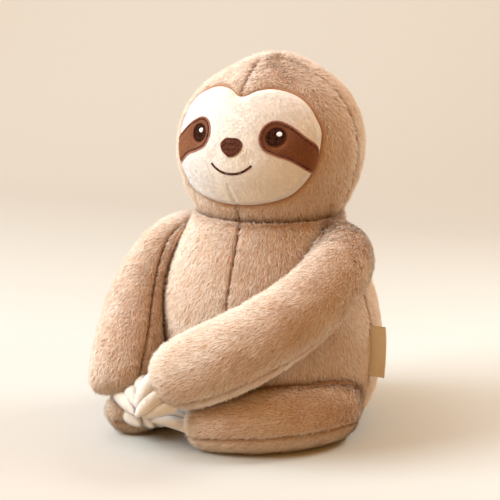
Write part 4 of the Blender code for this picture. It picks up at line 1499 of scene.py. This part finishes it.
def row_of_stitches(line, width, lift, shade, closed=False):
    """Stitches square to a line in front view. The width may change along it."""
    line = np.vstack((line, line[:1])) if closed else np.asarray(line)
    points, _ = on_face(line, lift)
    run = run_along(points)
    count = max(2, int(round(run[-1] / THREAD_PITCH)))
    steps = (np.arange(count) + 0.5) / count * run[-1]
    points, facing = on_face(np.stack([np.interp(steps, run, line[:, k]) for k in (0, 1)], 1), lift)
    across = unit(np.cross(facing, np.gradient(points, axis=0)))
    share = steps / run[-1]
    span = np.interp(share, np.linspace(0, 1, len(width)), width) if np.ndim(width) else np.full(count, width)
    return [points, across, facing, span, np.full(count, shade)]


def fill_of_stitches(outline, lift, shade, seed):
    """Upright stitches side by side inside an outline, broken into shorter ones at random places."""
    chance = np.random.default_rng(seed)
    after = np.roll(outline, -1, axis=0)
    centres, spans = [], []
    for x in np.arange(outline[:, 0].min() + THREAD_PITCH / 2, outline[:, 0].max(), THREAD_PITCH):
        cuts = []
        for a, b in zip(outline, after):
            if (a[0] > x) != (b[0] > x):
                cuts.append(a[1] + (b[1] - a[1]) * (x - a[0]) / (b[0] - a[0]))
        low, high = min(cuts), max(cuts)
        parts = max(1, math.ceil((high - low) / LONGEST_STITCH))
        ends = np.linspace(low, high, parts + 1)
        ends[1:-1] += chance.uniform(-0.3, 0.3, parts - 1) * LONGEST_STITCH
        for a, b in zip(ends, ends[1:]):
            centres.append((x, (a + b) / 2))
            spans.append(b - a)
    centres, spans = np.array(centres), np.array(spans)
    points, facing = on_face(centres, lift)
    across = np.array((0, 0, 1)) - facing * facing[:, 2:3]
    stretch = 1 / np.maximum(np.linalg.norm(across, axis=1), 0.3)
    return [points, unit(across), facing, spans * stretch * 1.06, np.full(len(spans), shade)]


def embroider(node, finish, body_rows, ground=None, ground_lift=0.0, ground_shade=0.2, seed=1):
    """One embroidered piece: its stitches, and a thin ground in its outline."""
    parts = [np.concatenate([row[k] for row in body_rows]) for k in range(5)]
    faces = []
    if ground is not None:
        places, faces = sheet(ground, ground.mean(0), 8)
        edge = np.maximum(loop_distance(places, ground), 0)
        lift = ground_lift - 0.45 * MM * np.exp(-((edge / (0.5 * MM)) ** 2))
        points, facing = on_face(places, lift)
        blank = np.zeros(len(points))
        base = [points, facing, facing, blank, blank + ground_shade]
        parts = [np.concatenate((b, p)) for b, p in zip(base, parts)]
    obj = mesh_object(node + "_stitching", parts[0], faces, finish)
    for name, values, kind in (
        ("across", parts[1], "FLOAT_VECTOR"),
        ("facing", parts[2], "FLOAT_VECTOR"),
        ("span", parts[3], "FLOAT"),
        ("shade", parts[4], "FLOAT"),
    ):
        give(obj, name, values, kind)
    modifier = obj.modifiers.new("stitches", "NODES")
    modifier.node_group = STITCH_TREE
    values = {"Thread": STITCH, "Thread width": THREAD_WIDTH, "Thread height": THREAD_HEIGHT}
    set_inputs(modifier, values | {"Seed": seed, "Finish": finish})
    baked(obj)
    finish_piece(obj, body_of_node(node), (node,))
    print(node, len(parts[0]), "points,", len(obj.data.polygons), "faces")


# %% Threads
def thread_material(name, deep, light, roughness=0.45):
    """Shiny thread, a little different from stitch to stitch."""
    material, tree, shader = new_material(name, roughness, 0.0, light)
    shader.inputs["Specular IOR Level"].default_value = 0.06
    place = add(tree, "ShaderNodeTexCoord").outputs["Object"]
    shade = maths(tree, "SUBTRACT", read(tree, "shade"), 0.15)
    lift = maths(tree, "MULTIPLY_ADD", read(tree, "strand_random"), 0.3, shade)
    tree.links.new(toned(tree, place, deep, light, lift, 0.25), shader.inputs["Base Color"])
    return material


BORDER_THREAD = thread_material("border_thread", linear(66, 28, 16), linear(186, 128, 104))
EYE_THREAD = thread_material("eye_thread_satin", linear(26, 7, 2), linear(132, 72, 46))
NOSE_THREAD = thread_material("nose_thread_satin", linear(46, 17, 10), linear(150, 92, 70))
GLINT_THREAD = thread_material("glint_thread_satin", linear(225, 222, 216), linear(255, 255, 252), 0.35)

# %% Borders of the patches
BORDER_ROW = 1.45 * MM
for seed, (name, outline) in enumerate(PATCH_LOOPS.items()):
    middle = on_head(PATCH_MIDDLE, 1 if name == "left" else -1)
    rows = []
    for inset, shade in ((0.6 * MM, 0.7), (2.0 * MM, 0.12)):
        after, before = np.roll(outline, -1, axis=0), np.roll(outline, 1, axis=0)
        along = after - before
        square = np.stack((-along[:, 1], along[:, 0]), 1) / np.linalg.norm(along, axis=1)[:, None]
        square *= np.where(((middle - outline) * square).sum(1) < 0, -1, 1)[:, None]
        line = outline + square * inset
        kept = loop_distance(line, FACE_LOOP) > 0.4 * MM
        first = int(np.nonzero(kept & ~np.roll(kept, 1))[0][0])
        order = np.roll(np.arange(len(line)), -first)
        line = line[order][kept[order]]
        rows.append(row_of_stitches(line, BORDER_ROW, 0.25 * MM + inset * 0.3, shade))
    embroider(name + "_patch_border", BORDER_THREAD, rows, seed=2200 + seed)


# %% Eyes and their glints
def circle_line(centre, radius, count=72):
    """A circle in front view."""
    angle = 2 * math.pi * np.arange(count) / count
    return centre + radius * np.stack((np.cos(angle), np.sin(angle)), 1)


EYE_LIFT, EYE_RING = 0.55 * MM, 1.15 * MM
GLINT_RADIUS, GLINT_OFFSET_SHARE = 1.9 * MM, (0.3, 0.27)
for seed, (name, centre) in enumerate(EYES.items()):
    inner = circle_line(centre, EYE_RADIUS - EYE_RING)
    ring = circle_line(centre, EYE_RADIUS - EYE_RING / 2)
    rows = [
        fill_of_stitches(inner, EYE_LIFT, 0.12, seed=seed),
        row_of_stitches(ring, EYE_RING, EYE_LIFT, 0.3, closed=True),
    ]
    ground = circle_line(centre, EYE_RADIUS)
    lift = EYE_LIFT - 0.02 * MM
    embroider(name + "_eye", EYE_THREAD, rows, ground, lift, 0.0, seed=2300 + seed)
    shine = centre + EYE_RADIUS * np.array(GLINT_OFFSET_SHARE)
    spot = circle_line(shine, GLINT_RADIUS, 32)
    rows = [fill_of_stitches(spot, EYE_LIFT + 0.5 * MM, 0.8, seed=seed + 9)]
    lift = EYE_LIFT + 0.55 * MM
    embroider(name + "_eye_glint", GLINT_THREAD, rows, spot, lift, 0.8, seed=2310 + seed)

# %% The nose
NOSE_HALF_WIDTH, NOSE_HEIGHT = 9.7 * MM, 14.5 * MM
NOSE_OUTLINE = ((0, 0.49), (0.6, 0.46), (0.98, 0.2), (0.86, -0.13), (0.48, -0.39), (0, -0.5))
NOSE_RING = 1.2 * MM
half = [on_head(NOSE_SHARE) + np.array((x * NOSE_HALF_WIDTH, z * NOSE_HEIGHT)) for x, z in NOSE_OUTLINE]
outline = smooth_loop(half + [np.array((-p[0], p[1])) for p in reversed(half[1:-1])], 8)
middle = outline.mean(0)


def drawn_in(outline, middle, width):
    """An outline moved inwards by a width."""
    away = outline - middle
    return middle + away * (1 - width / np.linalg.norm(away, axis=1))[:, None]


rows = [
    fill_of_stitches(drawn_in(outline, middle, NOSE_RING), 0.75 * MM, 0.3, seed=31),
    row_of_stitches(drawn_in(outline, middle, NOSE_RING / 2), NOSE_RING, 0.65 * MM, 0.5, closed=True),
]
embroider("nose", NOSE_THREAD, rows, outline, 0.75 * MM, 0.0, seed=2400)

# %% The mouth
MOUTH_HALF_WIDTH, MOUTH_DROP, MOUTH_WIDTH = 16.5 * MM, 7.0 * MM, 2.3 * MM
t = np.linspace(-1, 1, 61)
line = on_head(MOUTH_SHARE) + np.stack((t * MOUTH_HALF_WIDTH, MOUTH_DROP * (np.abs(t) ** 2.3 - 1)), 1)
rows = [row_of_stitches(line, MOUTH_WIDTH * (0.9 + 0.1 * np.cos(math.pi * t / 2)), 0.2 * MM, 0.3)]
embroider("mouth", EYE_THREAD, rows, seed=2410)

# %% [markdown]
# ## Claws
# Each claw is a leaf of cream minky, sewn and stuffed, with its root in the end of the limb. It is a
# short tube of rings on the CAD source's own line, drawn to a point, with a nap that runs to the tip.

# %% Claws
CLAW_RADIUS, CLAW_BOW_SHARE = 6.2 * MM, 0.1
SLIM_CLAWS = {"left_foot_claw_1": 0.66, "left_foot_claw_2": 0.34, "left_foot_claw_3": 0.34}
CLAW_RING_SHARES = ((0.0, 1.0), (0.32, 1.18), (0.62, 1.08), (0.86, 0.62), (1.0, 0.2))
CLAW_SHARES = {
    "left_hand_claw_1": ((-0.425, -1.35, 0.362), (-0.54, -1.565, 0.235)),
    "left_hand_claw_2": ((-0.34, -1.37, 0.3), (-0.525, -1.6, 0.2)),
    "left_hand_claw_3": ((-0.27, -1.35, 0.237), (-0.49, -1.55, 0.192)),
    "right_hand_claw_1": ((-0.92, -1.16, 0.22), (-0.622, -1.438, 0.178)),
    "right_hand_claw_2": ((-0.81, -1.15, 0.25), (-0.6, -1.44, 0.218)),
    "right_hand_claw_3": ((-0.71, -1.12, 0.29), (-0.59, -1.36, 0.255)),
    "left_foot_claw_1": ((-0.215, -1.12, 0.08), (-0.54, -1.3, 0.135)),
    "left_foot_claw_2": ((-0.225, -1.08, 0.11), (-0.52, -1.23, 0.17)),
    "left_foot_claw_3": ((-0.235, -1.01, 0.115), (-0.53, -1.12, 0.175)),
    "right_foot_claw_1": ((-0.88, -1.05, 0.105), (-0.685, -1.22, 0.09)),
    "right_foot_claw_2": ((-0.79, -1.01, 0.105), (-0.575, -1.18, 0.085)),
    "right_foot_claw_3": ((-0.73, -0.93, 0.1), (-0.54, -1.06, 0.075)),
}
CLAW_MINKY = (MINKY_GROUND, MINKY_NAP, 2.6e6, 1.3 * MM, 0.36 * MM, 0.7 * MM)
for seed, (node, (root, tip)) in enumerate(CLAW_SHARES.items()):
    root, tip = torso_place(root), torso_place(tip)
    length = np.linalg.norm(tip - root)
    centres, radii = [], []
    for along, radius in CLAW_RING_SHARES:
        bow = np.array((0, 0, math.sin(math.pi * along) * CLAW_BOW_SHARE * length))
        centres.append(root + (tip - root) * along + bow)
        radii.append((radius * CLAW_RADIUS * SLIM_CLAWS.get(node, 1),) * 2)
    points, way = tube_points(centres, radii, spacing=1.3 * MM, columns=28)
    claw = Form(node, points, np.repeat(way[:, None], points.shape[1], axis=1))
    claw.points[:, 2] = np.maximum(claw.points[:, 2], 0.3 * MM)
    share = np.ones(len(claw.points))
    make_panel(node, CLAW_MINKY, claw.points, claw.faces, share, claw.flow, 2500 + seed, lean=2.2)

# %% [markdown]
# ## The side label
# A plain woven ribbon is folded double and sewn into the side seam. It is a strip that runs out, turns
# in a tight fold and runs back, with a little wave, and gets its thickness from Solidify. It carries no
# words.

# %% The ribbon's finish
def ribbon_material(name, deep, light):
    """Plain woven ribbon: ribs across it and fine threads along it."""
    material, tree, shader = new_material(name, 0.6, 0.1, light)
    place = add(tree, "ShaderNodeTexCoord").outputs["Object"]
    tree.links.new(toned(tree, place, deep, light, 0.5, 0.3), shader.inputs["Base Color"])
    heights = []
    for direction, scale in (("Z", 520.0), ("X", 900.0)):
        wave = add(
            tree,
            "ShaderNodeTexWave",
            {"Vector": place, "Scale": scale, "Distortion": 0.4},
            bands_direction=direction,
            wave_profile="SIN",
        )
        heights.append(wave.outputs[1])
    bumped(tree, shader, maths(tree, "ADD", *heights), 0.35, 0.2 * MM)
    return material


RIBBON = ribbon_material("label_ribbon", linear(203, 184, 150), linear(224, 206, 174))

# %% The folded ribbon
LABEL_ROOT = torso_place((0.985, -0.09, 0.39))
LABEL_REACH, LABEL_HEIGHT, LABEL_GAP, RIBBON_THICKNESS = 12 * MM, 41 * MM, 0.42 * MM, 0.35 * MM
LABEL_ROWS, LABEL_COLUMNS = 28, 12
out_run = np.linspace(-2.2 * MM, LABEL_REACH - LABEL_GAP - 1 * MM, LABEL_COLUMNS)
fold = np.linspace(-math.pi / 2, math.pi / 2, 9)
profile = [(x, -LABEL_GAP) for x in out_run]
profile += [(out_run[-1] + LABEL_GAP * math.cos(a), LABEL_GAP * math.sin(a)) for a in fold[1:-1]]
profile += [(x, LABEL_GAP) for x in out_run[::-1]]
points = []
for i in range(LABEL_ROWS):
    up = 2 * i / (LABEL_ROWS - 1) - 1
    for x, y in profile:
        reach = max(x, 0) / LABEL_REACH
        bowed = x * (1 + 0.08 * (1 - up**2) * reach)
        sway = 0.9 * MM * reach**2 * math.sin(2.2 * up + 0.4)
        points.append(LABEL_ROOT + np.array((bowed, y + sway, up * LABEL_HEIGHT / 2)))
width = len(profile)
faces = [
    (i * width + k, i * width + k + 1, (i + 1) * width + k + 1, (i + 1) * width + k)
    for i in range(LABEL_ROWS - 1)
    for k in range(width - 1)
]
label = mesh_object("side_label_ribbon", points, faces, RIBBON)
solid = label.modifiers.new("thickness", "SOLIDIFY")
solid.thickness = RIBBON_THICKNESS
solid.offset = 0
baked(label)
finish_piece(label, "label", ("side_label",))

# %% [markdown]
# ## What is held inside
# The fillings are never seen, but a fused hollow toy would not be a real one. Each is the CAD solid with
# its loose triangles merged and its corners softened, kept under the pressed cloth, in a fibre finish.
# The bag of pellets is the same in plain cotton.

# %% Fillings and the bag of pellets
UNDER_CLOTH = 1.8 * MM
ALL_AXES = dict(use_axis_x=True, use_axis_y=True, use_axis_z=True)
FIBRE = cloth_material("filling_fibre", linear(226, 224, 220), linear(250, 249, 246), 260, 1.0, 0.3)
COTTON = cloth_material("pellet_bag_cotton", linear(206, 196, 178), linear(228, 220, 204), 1600, 0.5, 0.1)
for node in [name for name in frame["nodes"] if name.endswith("_filling") or name == "pellet_bag"]:
    slot, finish = ("pellet_cloth", COTTON) if node == "pellet_bag" else ("filling", FIBRE)
    source = frame["nodes"][node]
    shape = bmesh.new()
    shape.from_mesh(source.data)
    shape.transform(source.matrix_world)
    bmesh.ops.remove_doubles(shape, verts=shape.verts, dist=1e-5)
    for _ in range(2):
        bmesh.ops.smooth_vert(shape, verts=shape.verts, factor=0.4, **ALL_AXES)
    form = FORMS.get(node.removesuffix("_filling"))
    if form is not None:
        points = np.array([v.co for v in shape.verts])
        outside, nearest, normal = depth_in(points, form.tree())
        points = np.where(outside[:, None] > -UNDER_CLOTH, nearest - normal * UNDER_CLOTH, points)
        for vertex, place in zip(shape.verts, points):
            vertex.co = place
    mesh = bpy.data.meshes.new(node + "_soft")
    shape.to_mesh(mesh)
    shape.free()
    mesh.shade_smooth()
    mesh.materials.append(finish)
    soft = bpy.data.objects.new(node + "_soft", mesh)
    bpy.context.scene.collection.objects.link(soft)
    finish_piece(soft, body_of_node(node), (node,))
print("all", len(frame["nodes"]), "CAD nodes have their soft pieces")

# %% [markdown]
# ## The pale sweep
# The toy stands on one curved pale sheet, which is stage and not a part of it. The sheet is a little darker
# and warmer in front of the toy, which is painted shade, so its tone turns with its own Y coordinate.

# %% The floor
FLOOR_START, FLOOR_END, SWEEP_RADIUS, WALL_TOP, HALF_WIDTH = -2.6, 0.8, 0.8, 3.0, 4.0
SWEEP_STEPS = 24
profile = [(FLOOR_START, 0.0), (FLOOR_END, 0.0)]
for k in range(1, SWEEP_STEPS + 1):
    turn = math.pi / 2 * k / SWEEP_STEPS
    profile.append((FLOOR_END + SWEEP_RADIUS * math.sin(turn), SWEEP_RADIUS - SWEEP_RADIUS * math.cos(turn)))
profile.append((FLOOR_END + SWEEP_RADIUS, WALL_TOP))
points = [(x, y, z) for y, z in profile for x in (-HALF_WIDTH, HALF_WIDTH)]
faces = [(2 * i, 2 * i + 1, 2 * i + 3, 2 * i + 2) for i in range(len(profile) - 1)]
material, tree, shader = new_material("sweep", 0.95)
place = add(tree, "ShaderNodeTexCoord").outputs["Object"]
depth = add(tree, "ShaderNodeSeparateXYZ", {0: place}).outputs["Y"]
far_share = add(tree, "ShaderNodeMapRange", {"Value": depth, "From Min": -0.5, "From Max": 0.15}).outputs[0]
# Painted shade: the sheet is darker and warmer towards the front
tone = mixed(tree, far_share, linear(182, 173, 160), linear(200, 198, 188))
tree.links.new(tone, shader.inputs["Base Color"])
sweep = mesh_object("sweep", points, faces, material)
for pattern in (HAIR, STITCH):
    bpy.data.objects.remove(pattern)
